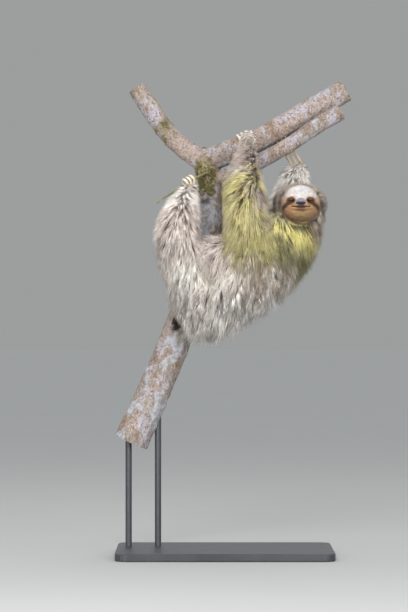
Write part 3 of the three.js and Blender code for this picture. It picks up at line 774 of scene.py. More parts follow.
def bark_material():
    """Grey-brown bark with pinkish patches, pale lichen crusts and moss at the fork."""
    perch = settings("perch")
    n = Nodes("sloth_bark", Specular_IOR_Level=0.25)
    place = n.place()
    broad = n.noise(place, 14.0, 4.0)
    medium = n.noise(n.place((1, 1, 0.6)), 60.0, 5.0, 0.65)
    fine = n.noise(place, 205.0, 5.0, 0.75)
    grain = n.noise(n.place((1, 1, 0.5), (5, 0, 0)), 290.0, 3.0, 0.7)
    clouds = n.noise(n.place((1, 1, 0.7), (0, 0, 4)), 28.0, 5.0, 0.7)
    stains = n.noise(n.place((1, 1, 0.5), (2, 0, 0)), 27.0, 6.0, 0.7)

    # bare bark: pinkish and lavender clouds, brown stains, dark pores and pale flecks
    pinkish = n.fade(broad, 0.44, 0.56, perch.bark, (0.28, 0.218, 0.188))
    lavender = n.fade(clouds, 0.50, 0.58, pinkish, (0.32, 0.30, 0.335), 0.0, 0.85)
    stain = n.fade(fine, 0.40, 0.60, (0.10, 0.065, 0.04), (0.27, 0.185, 0.12))
    browned = n.fade(stains, 0.50, 0.58, lavender, stain, 0.0, 0.9)
    speckled = n.fade(fine, 0.51, 0.60, browned, (0.07, 0.048, 0.034), 0.0, 0.7)
    flecked = n.fade(grain, 0.56, 0.64, speckled, (0.52, 0.46, 0.43), 0.0, 0.45)

    # lichen: a pale crust, in parts greenish, with dots
    spread = n.sum(n.noise(n.place((1, 1, 0.8), (0.3, 0.1, 0)), 24.0, 6.0, 0.66), n.stored("crust"))
    edge = n.fit(spread, 0.58, 0.66)
    powder = n.noise(place, 90.0, 5.0, 0.75)
    crust = n.fade(powder, 0.42, 0.62, perch.lichen, (0.22, 0.195, 0.185))
    green = n.noise(n.place(at=(1, 0, 0)), 35.0)
    greenish = n.fade(green, 0.56, 0.68, crust, (0.30, 0.32, 0.22), 0.0, 0.5)
    crusted = n.mix(edge, flecked, greenish)
    dots = n.fit(n.cells(n.place(at=(0, 1, 0)), 230.0), 0.20, 0.12)
    dotted = n.mix(n.times(dots, n.fit(medium, 0.45, 0.6)), crusted, (0.50, 0.48, 0.48))

    # growth where the wood stays damp, and painted shade: the hollows filled near black
    film = n.noise(n.place((1, 1, 0.5), (0, 3, 0)), 42.0, 4.0)
    streaked = n.fade(film, 0.60, 0.68, dotted, (0.20, 0.175, 0.075), 0.0, 0.6)
    mossy = n.fade(fine, 0.42, 0.60, (0.045, 0.038, 0.016), (0.27, 0.23, 0.115))
    damp = n.sum(n.stored("damp"), n.noise(place, 45.0, 5.0, 0.7))
    grown = n.fade(damp, 0.78, 1.05, streaked, mossy)
    # painted shade: the hollows near black
    dark = n.mix(n.stored("hollow_shade"), grown, (0.018, 0.012, 0.009))
    height = n.sum(n.sum(medium, n.times(fine, 0.45)), n.times(edge, 0.35))
    return n.finish(dark, n.fit(fine, 0.2, 0.8, 0.75, 0.95), height, 0.0022, 0.75)


def end_grain_material():
    """Sawn wood: growth rings and saw marks."""
    n = Nodes("sloth_sawn_wood", Specular_IOR_Level=0.3)
    across = n.add("UVMap", uv_map="grain").outputs[0]
    far = n.add("VectorMath", {0: across}, operation="LENGTH").outputs["Value"]
    uneven = n.sum(far, n.times(n.noise(across, 40.0), 0.004))
    rings = n.add("Math", {0: n.times(uneven, 2600.0)}, operation="SINE").outputs[0]
    base = n.fade(rings, -0.4, 0.9, (0.50, 0.36, 0.22), (0.66, 0.52, 0.35))
    saw = n.noise(n.place((8, 8, 1)), 160.0, 4.0)
    cut = n.fade(saw, 0.4, 0.7, base, (0.36, 0.25, 0.16), 0.0, 0.4)
    return n.finish(cut, n.fit(saw, 0.3, 0.7, 0.65, 0.85), n.sum(rings, saw), 0.0004, 0.5)


def twig_material():
    """Young bark, green-brown and mottled, worn to grey in places."""
    n = Nodes("sloth_twig", Specular_IOR_Level=0.35)
    mottle = n.noise(n.place(), 130.0, 4.0)
    base = n.fade(mottle, 0.35, 0.65, (0.24, 0.20, 0.065), (0.13, 0.11, 0.045))
    worn = n.fade(n.noise(n.place(), 420.0), 0.55, 0.7, base, (0.36, 0.30, 0.22), 0.0, 0.6)
    return n.finish(worn, n.fit(mottle, 0.3, 0.7, 0.55, 0.75), mottle, 0.0007, 0.6)


def moss_material():
    """Moss shoots, each its own green-brown, darker towards the root as painted shade."""
    n = Nodes("sloth_moss", Specular_IOR_Level=0.2)
    shoot = n.fade(n.stored("chance"), 0.2, 0.9, settings("perch").moss, (0.34, 0.29, 0.13))
    # painted shade towards each shoot's root
    shaded = n.fade(n.stored("along"), 0.0, 0.6, shoot, (0.06, 0.05, 0.02), 0.5, 0.0)
    speck = n.noise(n.place(), 900.0)
    return n.finish(shaded, n.fit(speck, 0.3, 0.7, 0.7, 0.9), speck, 0.0002, 0.4)


def paint_material():
    """Satin powder paint with a fine orange-peel skin and slight wear."""
    n = Nodes("sloth_stand_paint", Specular_IOR_Level=0.45)
    peel = n.noise(n.place(), 900.0, 2.0)
    haze = n.noise(n.place(), 9.0, 4.0)
    paint = settings("stage").paint
    base = n.fade(haze, 0.35, 0.7, paint, [1.35 * c for c in paint])
    return n.finish(base, n.fit(haze, 0.3, 0.7, 0.36, 0.5), peel, 0.00025, 0.35)


def floor_material():
    """Plain pale floor, barely dusty."""
    n = Nodes("stage_floor", Specular_IOR_Level=0.2)
    pale = settings("stage").floor
    base = n.fade(n.noise(n.place(), 3.0, 3.0), 0.3, 0.7, pale, [0.985 * c for c in pale])
    return n.finish(base, 0.8)


# ------------------------------------------------------------------ skin and face


def flesh_solid():
    """Overlapping balls along the body's lengths and at the head's forms, inside the coat."""
    bm = bmesh.new()
    for name, (places, radii) in COURSES.items():
        if name in HAIR_ONLY:
            continue
        for at, radius in zip(places, radii - coat_depth(radii)):
            place = Matrix.Translation(at)
            bmesh.ops.create_icosphere(bm, subdivisions=3, radius=radius, matrix=place)
    for middle, _, flesh in HEAD_FORMS.values():
        size = Matrix.Diagonal([h * MM for h in flesh] + [1])
        place = Matrix.Translation([c * MM for c in middle])
        bmesh.ops.create_icosphere(bm, subdivisions=4, radius=1, matrix=place @ size)
    return mesh_from(bm, "flesh")


def sculpt_face(p):
    """Eye hollows, brow, lips and the groove of the mouth, moved into the skin's points."""
    x, y, z = (p / MM).T
    front = ease(-124, -132, y)
    for ex, ey, ez in EYES.values():
        reach = np.hypot(x - ex, z - ez)
        hollow = ease(8.2, 4.9, reach) * front
        y = y + (ey - 1.6 - y) * hollow
        above = np.exp(-((x - ex) / 9) ** 2 - ((z - ez - 8.5) / 3.4) ** 2) * front
        y = y - above
    dx = x - FACE_X
    gap = z - mouth_line(dx)
    across = ease(MOUTH_HALF + 1.5, MOUTH_HALF - 5, np.abs(dx)) * front
    groove = np.exp(-(gap / 1.1) ** 2)
    lips = np.exp(-((np.abs(gap) - 3.0) / 1.6) ** 2)
    y = y + across * (1.9 * groove - 0.9 * lips)
    philtrum = np.exp(-(dx / 0.9) ** 2) * ease(703.2, 704.7, z) * ease(713, 711, z) * front
    y = y + philtrum
    corner = np.exp(-((np.abs(dx) - 20) / 2.6) ** 2 - ((z - 709) / 2.6) ** 2) * front
    y = y + 1.6 * corner
    chin = np.exp(-(dx / 13) ** 2 - ((z - 692) / 6.0) ** 2) * front
    y = y - 2.2 * chin
    return np.c_[x, y, z] * MM


def refine_face(mesh):
    """Finer facets on the face, and finer still round the eyes and mouth."""
    bm = bmesh_from(mesh)

    def split(wanted):
        edges = [e for e in bm.edges if wanted((e.verts[0].co + e.verts[1].co) / 2 / MM)]
        bmesh.ops.subdivide_edges(bm, edges=edges, cuts=1, use_grid_fill=True, smooth=0.3)

    split(lambda c: c.y < -126 and abs(c.x - FACE_X) < 44 and 670 < c.z < 760)
    split(lambda c: c.y < -132 and abs(c.x - FACE_X) < 31 and 694 < c.z < 731)
    bmesh.ops.triangulate(bm, faces=[f for f in bm.faces if len(f.verts) > 4])
    bm.to_mesh(mesh)
    bm.free()


def add_lids(bm):
    """Upper and lower lids: parts of a thin shell round each eye."""
    radius = (EYE_RADIUS + 0.55) * MM
    for ex, ey, ez in EYES.values():
        side = 1 if ex > FACE_X else -1
        for up, degrees, offset in ((1, -14, 1.2), (-1, 20, 2.0)):
            shell = bmesh.new()
            bmesh.ops.create_uvsphere(shell, u_segments=40, v_segments=26, radius=radius)
            tilt = math.radians(degrees)
            cut = Vector((0.10 * side, math.sin(tilt), math.cos(tilt) * up)).normalized()
            geom = shell.verts[:] + shell.edges[:] + shell.faces[:]
            bmesh.ops.bisect_plane(
                shell, geom=geom, plane_co=cut * offset * MM, plane_no=-cut, clear_outer=True
            )
            bmesh.ops.solidify(shell, geom=shell.faces[:], thickness=0.5 * MM)
            bmesh.ops.recalc_face_normals(shell, faces=shell.faces[:])
            bmesh.ops.translate(shell, vec=Vector((ex, ey, ez)) * MM, verts=shell.verts)
            for face in shell.faces:
                face.material_index = 1
            lid = mesh_from(shell, "lid")
            bm.from_mesh(lid)
            bpy.data.meshes.remove(lid)


def unwrap(piece):
    """Unwraps the skin's own shape into the map that places the tufts' patches."""
    piece.data.uv_layers.new(name="OFBake")
    bpy.context.view_layer.objects.active = piece
    piece.select_set(True)
    bpy.ops.object.mode_set(mode="EDIT")
    bpy.ops.mesh.select_all(action="SELECT")
    bpy.ops.uv.smart_project(angle_limit=math.radians(60), island_margin=0.002)
    bpy.ops.object.mode_set(mode="OBJECT")
    piece.select_set(False)


# ------------------------------------------------------------------ the coat


def fewer(count):
    return count


def scatter(mesh, count, wanted, rng):
    """Random places on a mesh, more where wanted is higher, with their normals and map places."""
    mesh.calc_loop_triangles()
    corners = rows(mesh.loop_triangles, "vertices", 3, int)
    loops = rows(mesh.loop_triangles, "loops", 3, int)
    tri = places_of(mesh)[corners]
    area = np.linalg.norm(np.cross(tri[:, 1] - tri[:, 0], tri[:, 2] - tri[:, 0]), axis=1) / 2
    weight = area * wanted(tri.mean(1))
    chosen = rng.choice(len(area), count, p=weight / weight.sum())
    a, b = rng.rand(2, count)
    flip = a + b > 1
    a, b = np.where(flip, 1 - a, a), np.where(flip, 1 - b, b)
    share = np.stack([1 - a - b, a, b], 1)[:, :, None]

    def blend(values):
        return (values[chosen] * share).sum(1)

    spots = rows(mesh.uv_layers["OFBake"].uv, "vector", 2)[loops]
    return blend(tri), unit(blend(normals_of(mesh)[corners])), blend(spots)


def lie(p, normals):
    """Which way the hair lies along the skin: a vector that is short where ways meet."""
    share, _ = regions(p)
    part = {region: share[:, i : i + 1] for i, region in enumerate(REGIONS)}
    x, _, z = (p / MM).T
    none, one = np.zeros_like(x), np.ones_like(x)
    way = part["spine"] * (DOWN + 0.25 * np.c_[ease(-60, 120, x) * 2 - 1, none, none])
    way += part["tail"] * near_course("tail", p)[2]

    # near forearm: combed round from the right to the lower left, with a fringe at the elbow
    _, along, _ = near_course("arm_left", p)
    sweep_left = ease(0.22, 0.42, along) * ease(0.98, 0.7, along)
    fringe = ease(58, 76, x)[:, None]
    comb = np.c_[-2.0 * sweep_left, -0.3 * sweep_left, -one]
    way += part["arm_left"] * (comb * (1 - fringe) + fringe * np.array([0.55, 0, -0.8]))
    way += part["arm_right"] * (DOWN + np.array([-0.15, 0, 0]))

    # near leg: parted over the shin, then down to the left on the thigh
    _, along, _ = near_course("leg_left", p)
    parted = np.clip((x + 88) / 22, -1, 1) * ease(0.42, 0.7, along)
    thigh = 0.55 * ease(0.62, 0.35, along)
    way += part["leg_left"] * np.c_[0.4 * parted - 0.55 * thigh, none, -one]
    way += part["leg_right"] * DOWN

    # head: up and back from the forehead, down the sides of the face
    dx = x - FACE_X
    outward = unit(np.c_[dx, none, z - 708])
    crown = ease(700, 742, z)[:, None]
    inside = face_plan(p)[2][:, None]
    hood = outward * (0.25 + 0.75 * crown) + np.array([0, 0.55, 0]) + DOWN * (1 - crown)
    under = (ease(30, 18, np.abs(dx)) * ease(690, 680, z))[:, None]
    hood = hood * (1 - under) + under * np.array([0, 1.0, -0.3])
    from_nose = unit(np.c_[dx, 0.25 * one, z - 713])
    for ex, _, ez in EYES.values():
        from_eye = np.c_[x - ex, none, z - ez]
        near = ease(11, 6, np.linalg.norm(from_eye, axis=1))[:, None]
        from_nose += unit(from_eye) * 1.6 * near
    way += part["head"] * (hood * (1 - inside) + from_nose * inside)

    restless = 1 - 0.75 * np.maximum(inside, part["head"])
    way += restless * (0.22 * ripple(p, 0.05, 11) + 0.12 * ripple(p, 0.016, 12))
    way -= normals * (way * normals).sum(1, keepdims=True)
    return way


def tuft_mesh(name, material, path, widths, tone, chance, spots, normals, flat=0.45):
    """One joined mesh of tapered three-sided tufts. path holds each tuft's rings and its tip."""
    count, rings = len(path), path.shape[1] - 1
    ahead = unit(np.diff(path, axis=1))
    ahead = np.concatenate([ahead, ahead[:, -1:]], 1)[:, :rings]
    across = unit(np.cross(ahead, normals[:, None]))
    up = np.cross(across, ahead)
    taper = np.interp(np.arange(rings) / rings, [0, 0.35, 0.7, 1], [0.75, 1.0, 0.72, 0.3])
    half = widths[:, None, None] * taper[None, :, None] / 2
    points = np.empty((count, rings * 3 + 1, 3), np.float32)
    for k, angle in enumerate(np.radians([90, 210, 330])):
        spoke = math.cos(angle) * across + flat * math.sin(angle) * up
        points[:, k : rings * 3 : 3] = path[:, :rings] + half * spoke
    points[:, -1] = path[:, -1]

    faces = [(2, 1, 0)]
    for r in range(rings - 1):
        for k in range(3):
            a, b = 3 * r + k, 3 * r + (k + 1) % 3
            faces += [(a, b, b + 3), (a, b + 3, a + 3)]
    top = 3 * (rings - 1)
    faces += [(top + k, top + (k + 1) % 3, rings * 3) for k in range(3)]
    faces = np.array(faces, np.int32)
    size = rings * 3 + 1
    starts = np.arange(count) * size
    corners = (faces[None] + starts[:, None, None]).reshape(-1).astype(np.int32)
    total = len(corners) // 3

    mesh = bpy.data.meshes.new(name)
    mesh.vertices.add(count * size)
    mesh.vertices.foreach_set("co", points.ravel())
    mesh.loops.add(len(corners))
    mesh.loops.foreach_set("vertex_index", corners)
    mesh.polygons.add(total)
    mesh.polygons.foreach_set("loop_start", np.arange(0, len(corners), 3, dtype=np.int32))
    mesh.polygons.foreach_set("loop_total", np.full(total, 3, np.int32))
    mesh.update(calc_edges=True)
    mesh.polygons.foreach_set("use_smooth", np.ones(total, bool))

    along = np.append(np.repeat(np.arange(rings) / rings, 3), 1.0)
    give(mesh, "along", np.tile(along, count))
    give(mesh, "chance", np.repeat(chance, size))
    if tone is not None:
        give_tone(mesh, np.repeat(tone, size, 0))
    corner_u = np.append(np.tile([0.0, 0.5, 1.0], rings), 0.5)
    spot = spots[:, None] + TUFT_PATCH * (np.c_[corner_u, along] - 0.5)[None]
    bake = mesh.uv_layers.new(name="OFBake")
    bake.uv.foreach_set("vector", spot.reshape(-1, 2)[corners].astype(np.float32).ravel())
    mesh.materials.append(material)
    mesh.validate()
    return mesh


def lay_tufts(roots, normals, rng, in_lock, gather, lengths, lift, sag, stray):
    """Paths of tufts that lie along the coat and run together into locks at their tips."""
    count = len(roots)
    way = lie(roots, normals)
    strength = np.clip(np.linalg.norm(way, axis=1), 0.15, 1)
    start = unit(way + normals * (np.tan(lift) * strength)[:, None])
    end = unit(start + sag[:, None] * DOWN + 0.12 * ripple(roots, 0.02, 21))
    leaders = rng.choice(count, max(count // in_lock, 8), replace=False)
    tree = KDTree(len(leaders))
    for i, j in enumerate(leaders):
        tree.insert(roots[j], i)
    tree.balance()
    lead = leaders[[tree.find(p)[1] for p in roots]]
    same = (normals * normals[lead]).sum(1) > 0.5
    near = np.linalg.norm(roots - roots[lead], axis=1) < 0.5 * lengths + 2 * MM
    lead = np.where(same & near, lead, np.arange(count))
    offset = roots - roots[lead]
    reach = lengths * (0.55 * rng.rand(count) + 0.62)
    spread = rng.normal(size=(count, 3)) * (stray * reach)[:, None]
    path = np.empty((count, TUFT_RINGS + 1, 3))
    for step in range(TUFT_RINGS + 1):
        s = step / TUFT_RINGS
        ahead = (start[lead] * s + (end[lead] - start[lead]) * s * s / 2) * reach[:, None]
        own = (start * s + (end - start) * s * s / 2) * reach[:, None]
        together = offset * (gather * s ** 1.3)[:, None]
        path[:, step] = roots + 0.6 * ahead + 0.4 * own - together + spread * s * s
    return path, lead


def fit_to_outline(path, goal):
    """Bends the tufts in or out, so that each ends its goal's distance off the outline."""
    tips = path[:, -1]
    gone = -regions(tips)[1]
    slope = np.stack([-regions(tips + MM * axis)[1] - gone for axis in np.eye(3)], 1)
    shift = np.clip(goal - gone, -MOST_IN * MM, MOST_OUT * MM)
    bend = np.linspace(0, 1, path.shape[1]) ** 1.5
    path += unit(slope)[:, None] * (shift[:, None] * bend)[:, :, None]


def clear_of_wood(path):
    """Lifts the tufts' tips out of the wood, and tells which tufts are clear of it below them."""
    wood = BVHTree.FromObject(bpy.data.objects["bark"], bpy.context.evaluated_depsgraph_get())
    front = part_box("perch_stem")[0][1] - 2 * MM
    good = np.ones(len(path), bool)
    for i in np.nonzero(path[:, :, 1].max(1) > front)[0]:
        for step in range(TUFT_RINGS + 1):
            at = Vector(path[i, step])
            hit, normal, _, gone = wood.find_nearest(at, 0.05)
            if hit is None or (gone >= 0.6 * MM and (at - hit).dot(normal) >= 0):
                continue
            if step < TUFT_RINGS:
                good[i] = False
                break
            path[i, step] = hit + normal * 0.8 * MM
    return good


def near_pits(p):
    """For each hollow in the bark, how far each place is from it: 1 is at its ragged edge."""
    ragged = p / MM + 3 * ripple(p, 0.012, 33)
    return [oval(ragged, middle, half) for middle, half, _ in PITS]


def saw_ends(bm):
    """Cuts the wood off straight at its ends, and gives each end the map of its growth rings."""
    grain = bm.loops.layers.uv.new("grain")
    for middle, way, radius in SAWN_ENDS.values():
        middle, way = Vector(middle) * MM, Vector(way).normalized()
        reach = radius * 1.5 * MM
        near = {f for f in bm.faces if (f.calc_center_median() - middle).length < reach}
        geom = {v for f in near for v in f.verts} | {e for f in near for e in f.edges} | near
        cut = bmesh.ops.bisect_plane(
            bm, geom=list(geom), plane_co=middle - way * 2.2 * MM, plane_no=way, clear_outer=True
        )["geom_cut"]
        rim = [g for g in cut if isinstance(g, bmesh.types.BMEdge)]
        cap = bmesh.ops.contextual_create(bm, geom=rim)["faces"]
        bmesh.ops.inset_region(bm, faces=cap, thickness=1.6 * MM, depth=0, use_even_offset=True)
        side = way.orthogonal().normalized()
        other = way.cross(side)
        for face in cap:
            face.material_index = 1
            for loop in face.loops:
                arm = loop.vert.co - middle
                loop[grain].uv = (arm.dot(side), arm.dot(other))


# ------------------------------------------------------------------ operators


class SLOTH_OT_bark(bpy.types.Operator):
    """Bark of the stem and its branches, with knots and sawn ends"""

    bl_idname = "sloth.bark"
    bl_label = "Make the bark"

    def execute(self, context):
        mesh = wood_from("wood", WOOD_NODES, 2.7 * MM, 5)
        p = places_of(mesh)
        lumps = np.array([noise.fractal(Vector(v) * 38, 1.0, 2.1, 3) for v in p])
        grit = np.array([noise.noise(Vector(v) * 190) for v in p])
        swell = 1.3 * MM + settings("perch").relief * (1.1 * lumps + 0.35 * grit)
        for reach, (_, _, depth) in zip(near_pits(p), PITS):
            rim = np.exp(-((reach - 1.5) / 0.5) ** 2)
            swell += 2.2 * MM * rim - depth * MM * np.exp(-(reach ** 2))
        set_places(mesh, p + normals_of(mesh) * swell[:, None])
        bm = bmesh_from(mesh)
        saw_ends(bm)
        bmesh.ops.recalc_face_normals(bm, faces=bm.faces[:])
        bpy.data.meshes.remove(mesh)
        mesh = mesh_from(bm, "bark", bark_material(), end_grain_material())
        p = places_of(mesh)
        _, y, z = (p / MM).T
        fork = oval(p / MM, (-36, 20, 770), (34, 40, 62))
        left = oval(p / MM, (-120, 30, 866), (26, 30, 40))
        give(mesh, "damp", 0.62 * ease(1.3, 0.45, fork) + 0.42 * ease(1.2, 0.5, left))
        right_side = ease(-0.2, 0.8, ripple(p, 0.16, 31)[:, 0]) * 0.06
        low = ease(520, 380, z) * ease(-0.4, 0.5, ripple(p, 0.07, 32)[:, 1]) * 0.10
        gap = 0.12 * ease(40, 20, np.abs(z - 690)) * ease(5, -5, y - 30)
        give(mesh, "crust", right_side + low + gap)
        # painted shade: where the hollows are painted near black
        hollow_shades = [ease(1.2, 0.7, reach) for reach in near_pits(p)]
        give(mesh, "hollow_shade", np.max(hollow_shades, axis=0))
        keep("bark", mesh, "bark", *WOOD_NODES)
        return {"FINISHED"}


class SLOTH_OT_twig(bpy.types.Operator):
    """Thin green-brown twig that the near hind foot holds"""

    bl_idname = "sloth.twig"
    bl_label = "Make the twig"

    def execute(self, context):
        mesh = wood_from("twig", ["perch_twig"], 1.1 * MM, 6)
        p = places_of(mesh)
        lumps = np.array([noise.fractal(Vector(v) * 110, 1.0, 2.0, 2) for v in p])
        set_places(mesh, p + normals_of(mesh) * ((-0.9 + 0.45 * lumps) * MM)[:, None])
        mesh.polygons.foreach_set("use_smooth", np.ones(len(mesh.polygons), bool))
        mesh.materials.clear()
        mesh.materials.append(twig_material())
        keep("twig", mesh, "twig_bark", "perch_twig")
        return {"FINISHED"}


class SLOTH_OT_skin(bpy.types.Operator):
    """One skin for the whole animal, with hollows, lips and lids on the face"""

    bl_idname = "sloth.skin"
    bl_label = "Make the skin"

    def execute(self, context):
        mesh = remeshed(flesh_solid(), 3.0 * MM, 8)
        refine_face(mesh)
        set_places(mesh, sculpt_face(places_of(mesh)))
        bm = bmesh_from(mesh)
        add_lids(bm)
        bpy.data.meshes.remove(mesh)
        mesh = mesh_from(bm, "skin", skin_material(), lid_material())
        give_tone(mesh, markings(places_of(mesh)))
        unwrap(keep("skin", mesh, "coat", *FLESH_NODES))
        return {"FINISHED"}


class SLOTH_OT_coat(bpy.types.Operator):
    """Long coat of the body and limbs and the hood of the head, as locks of solid tufts"""

    bl_idname = "sloth.coat"
    bl_label = "Make the coat"

    def execute(self, context):
        coat = settings("coat")
        rng = np.random.RandomState(coat.seed)
        count = fewer(coat.tufts)

        def wanted(p):
            thin = ease(16 * MM, 5 * MM, regions(p)[1])
            return np.clip(1 - 1.5 * face_plan(p)[2], 0, 1) * (1 + 1.1 * thin)

        roots, normals, spots = scatter(bpy.data.objects["skin"].data, count, wanted, rng)
        roots = roots - normals * 0.6 * MM
        share, depth = regions(roots)
        part = dict(zip(REGIONS, share.T))
        height = roots[:, 2] / MM
        head = part["head"]
        forearm = part["arm_left"] * ease(660, 720, height)
        chest = ease(60, 120, roots[:, 0] / MM) * (1 - head)
        calm = np.clip(head + 0.5 * forearm + 0.25 * chest + 0.15 * part["arm_right"], 0, 1)
        lengths = np.clip((2.7 - 0.6 * calm) * depth, 7 * MM, coat.longest)
        x, z, _ = face_plan(roots)
        lengths *= 1 - 0.8 * head * ease(38, 28, np.abs(x)) * ease(694, 684, z)
        low = (1 - head) * ease(610, 560, height)
        lift = np.radians(rng.uniform(22, 38, count) - 12 * head)
        sag = 0.5 - 0.35 * head - 0.3 * forearm
        gather = 0.92 - 0.5 * calm
        stray = 0.06 - 0.04 * calm
        path, lead = lay_tufts(roots, normals, rng, 8, gather, lengths, lift, sag, stray)
        fringe = 20 * (1 - head) * ease(0.1, -0.9, normals[:, 2]) * rng.rand(count)[lead] ** 2
        uneven = rng.uniform(-4, 7, count)[lead] * (1 + 0.8 * low) - 4 * low
        uneven = uneven + rng.uniform(-4, 2, count)
        goal = uneven * (1 - 0.8 * head) + fringe
        fit_to_outline(path, goal * MM)
        widths = (0.6 * MM + 0.018 * lengths) * (1 + 0.5 * low) * rng.uniform(0.75, 1.3, count)
        tone = markings(roots + head[:, None] * (path[:, 1] - roots))
        chance = 0.3 * rng.rand(count) + 0.7 * rng.rand(count)[lead]
        chance = 0.48 + (chance - 0.48) * (1 - 0.45 * calm + 1.0 * low)
        good = clear_of_wood(path)
        widest = share.argmax(1)
        fur = fur_material("sloth_fur", 0.2, 1.0, 0.6, 0.5)
        for i, region in enumerate(REGIONS):
            chosen = np.nonzero(good & (widest == i))[0]
            chosen = chosen[np.argsort(roots[chosen, 0])]
            pieces = max(1, math.ceil(len(chosen) / MOST_TUFTS))
            for number, some in enumerate(np.array_split(chosen, pieces), 1):
                name = f"coat_{region}_{number}"
                tufts = [values[some] for values in (path, widths, tone, chance, spots, normals)]
                keep(name, tuft_mesh(name, fur, *tufts), "coat")
        return {"FINISHED"}


class SLOTH_OT_face_coat(bpy.types.Operator):
    """Short hair of the face, in fine tufts that leave the nose, lids and lips bare"""

    bl_idname = "sloth.face_coat"
    bl_label = "Make the face's hair"

    def execute(self, context):
        coat = settings("coat")
        rng = np.random.RandomState(coat.seed + 1)
        count = fewer(coat.face_tufts)

        def bare(p):
            x, z, _ = face_plan(p)
            eyes = ease(6.2, 5.4, near_eyes(x, z))
            nose = ease(10.5, 9.5, np.hypot(x, (z - 716) * 1.3))
            wide = 1.4 + 1.6 * ease(12, 5, np.abs(x))
            mouth = ease(wide, wide - 0.6, np.abs(z - 0.8 - mouth_line(x)))
            return np.clip(eyes + nose + mouth * (np.abs(x) < MOUTH_HALF), 0, 1)

        def wanted(p):
            return face_plan(p)[2] ** 0.5 * (1 - bare(p)) + 1e-9

        roots, normals, spots = scatter(bpy.data.objects["skin"].data, count, wanted, rng)
        kept = face_plan(roots)[2] > 0.02
        roots, normals, spots = roots[kept], normals[kept], spots[kept]
        count = len(roots)
        x, z, _ = face_plan(roots)
        long = ease(8, 26, np.hypot(x, z - 714)) * ease(6, 13, near_eyes(x, z))
        lengths = (2.6 + 4.6 * long + 2.2 * ease(728, 746, z)) * MM
        lift = np.radians(rng.uniform(14, 24, count))
        roots = roots - normals * 0.25 * MM
        even = np.ones(count)
        gather, sag, stray = 0.45 * even, 0.05 * even, 0.08 * even
        path, lead = lay_tufts(roots, normals, rng, 7, gather, lengths, lift, sag, stray)
        widths = (coat.finest + 0.030 * lengths) * rng.uniform(0.8, 1.25, count)
        chance = np.clip(0.7 * rng.rand(count) + 0.3 * rng.rand(count)[lead], 0, 1)
        fur = fur_material("sloth_face_fur", 0.7, 0.3, 0.1, 0.1)
        tufts = (path, widths, markings(path[:, 1]), chance, spots, normals)
        keep("coat_face", tuft_mesh("coat_face", fur, *tufts), "face_coat")
        return {"FINISHED"}


class SLOTH_OT_eyes(bpy.types.Operator):
    """Dark wet eyes with a bulging cornea"""

    bl_idname = "sloth.eyes"
    bl_label = "Make the eyes"

    def execute(self, context):
        glass = eye_material()
        for name, place in EYES.items():
            mesh = ball(name, 36, 28, EYE_RADIUS * MM, glass)
            p = places_of(mesh)
            angle = np.degrees(np.arccos(np.clip(unit(p) @ np.array([0, -1, 0]), -1, 1)))
            p = p * (1 + 0.10 * ease(44, 10, angle))[:, None]
            set_places(mesh, p + np.array(place) * MM)
            give(mesh, "gaze", np.clip(angle / 48, 0, 1))
            keep("sloth_" + name, mesh, "eye", name)
        return {"FINISHED"}


class SLOTH_OT_nose(bpy.types.Operator):
    """Bare nose pad with two nostrils"""

    bl_idname = "sloth.nose"
    bl_label = "Make the nose"

    def execute(self, context):
        mesh = ball("nose_pad", 56, 40, 1, nose_material())
        x, y, z = places_of(mesh).T
        x = x * (1 - 0.17 * z) * (1 + 0.3 * z * z * (z < 0))
        z = z - 0.10 * (1 - x * x) * (z < 0) * z
        p = np.c_[x, y, z] * np.array(NOSE_HALF)
        front = ease(0.1, -0.4, y)
        for side in (-1, 1):
            dx, dz = p[:, 0] - side * 4.3, p[:, 2] + 1.6
            slit = np.hypot((dx + side * 0.35 * dz) / 2.2, dz / 1.7)
            p[:, 1] += 3.0 * np.exp(-slit ** 2) * front
            p[:, 1] -= 0.6 * np.exp(-((slit - 1.7) / 0.6) ** 2) * front
        p[:, 1] += 0.8 * np.exp(-(p[:, 0] / 0.7) ** 2) * ease(1.5, -2, p[:, 2]) * front
        set_places(mesh, (p + np.array(NOSE_AT)) * MM)
        keep("nose_pad", mesh, "nose_skin", "nose")
        return {"FINISHED"}


class SLOTH_OT_claws(bpy.types.Operator):
    """Twelve long hooked claws of horn"""

    bl_idname = "sloth.claws"
    bl_label = "Make the claws"

    def execute(self, context):
        horn = claw_material()
        for tip, row in CLAW_ROWS.items():
            limb, root_radius, spacing, middle, axis, bend, side, turned = row
            axis = Vector(axis).normalized()
            out = Vector(side)
            out = (out - axis * out.dot(axis)).normalized()
            (wrist, _), (end, end_radius) = LENGTHS[limb][-2:]
            ahead = (Vector(end) - Vector(wrist)).normalized()
            turn = math.copysign(1, axis.cross(out).dot(ahead))
            knuckle = Vector(end) + ahead * end_radius * 0.2
            for number in (1, 2, 3):
                shift = axis * (number - 2) * spacing
                joints = [(tuple(knuckle + shift), root_radius)]
                for bent in np.arange(CLAW_BENDS + 1) / CLAW_BENDS:
                    arm = Matrix.Rotation(math.radians(turned * bent) * turn, 3, axis) @ out
                    radius = root_radius + (CLAW_TIP - root_radius) * bent ** 1.3
                    joints.append((tuple(arm * bend + Vector(middle) + shift), radius))
                places, radii = course(joints, 4)
                bm = bmesh.new()
                sweep(bm, places, radii, CLAW_SIDES, CLAW_WIDTH, axis)
                bmesh.ops.recalc_face_normals(bm, faces=bm.faces[:])
                name = f"{tip}_claw_{number}"
                mesh = mesh_from(bm, name, horn)
                p = places_of(mesh)
                nearest = np.linalg.norm(p[:, None] - places[None], axis=2).argmin(1)
                along = nearest / (len(places) - 1)
                give(mesh, "along", along)
                x, y, z = ((p - places[nearest]) * 900).T
                give(mesh, "lengthwise", np.c_[x + along * 1.5, y, z])
                keep("sloth_" + name, mesh, "claw", name)
        return {"FINISHED"}


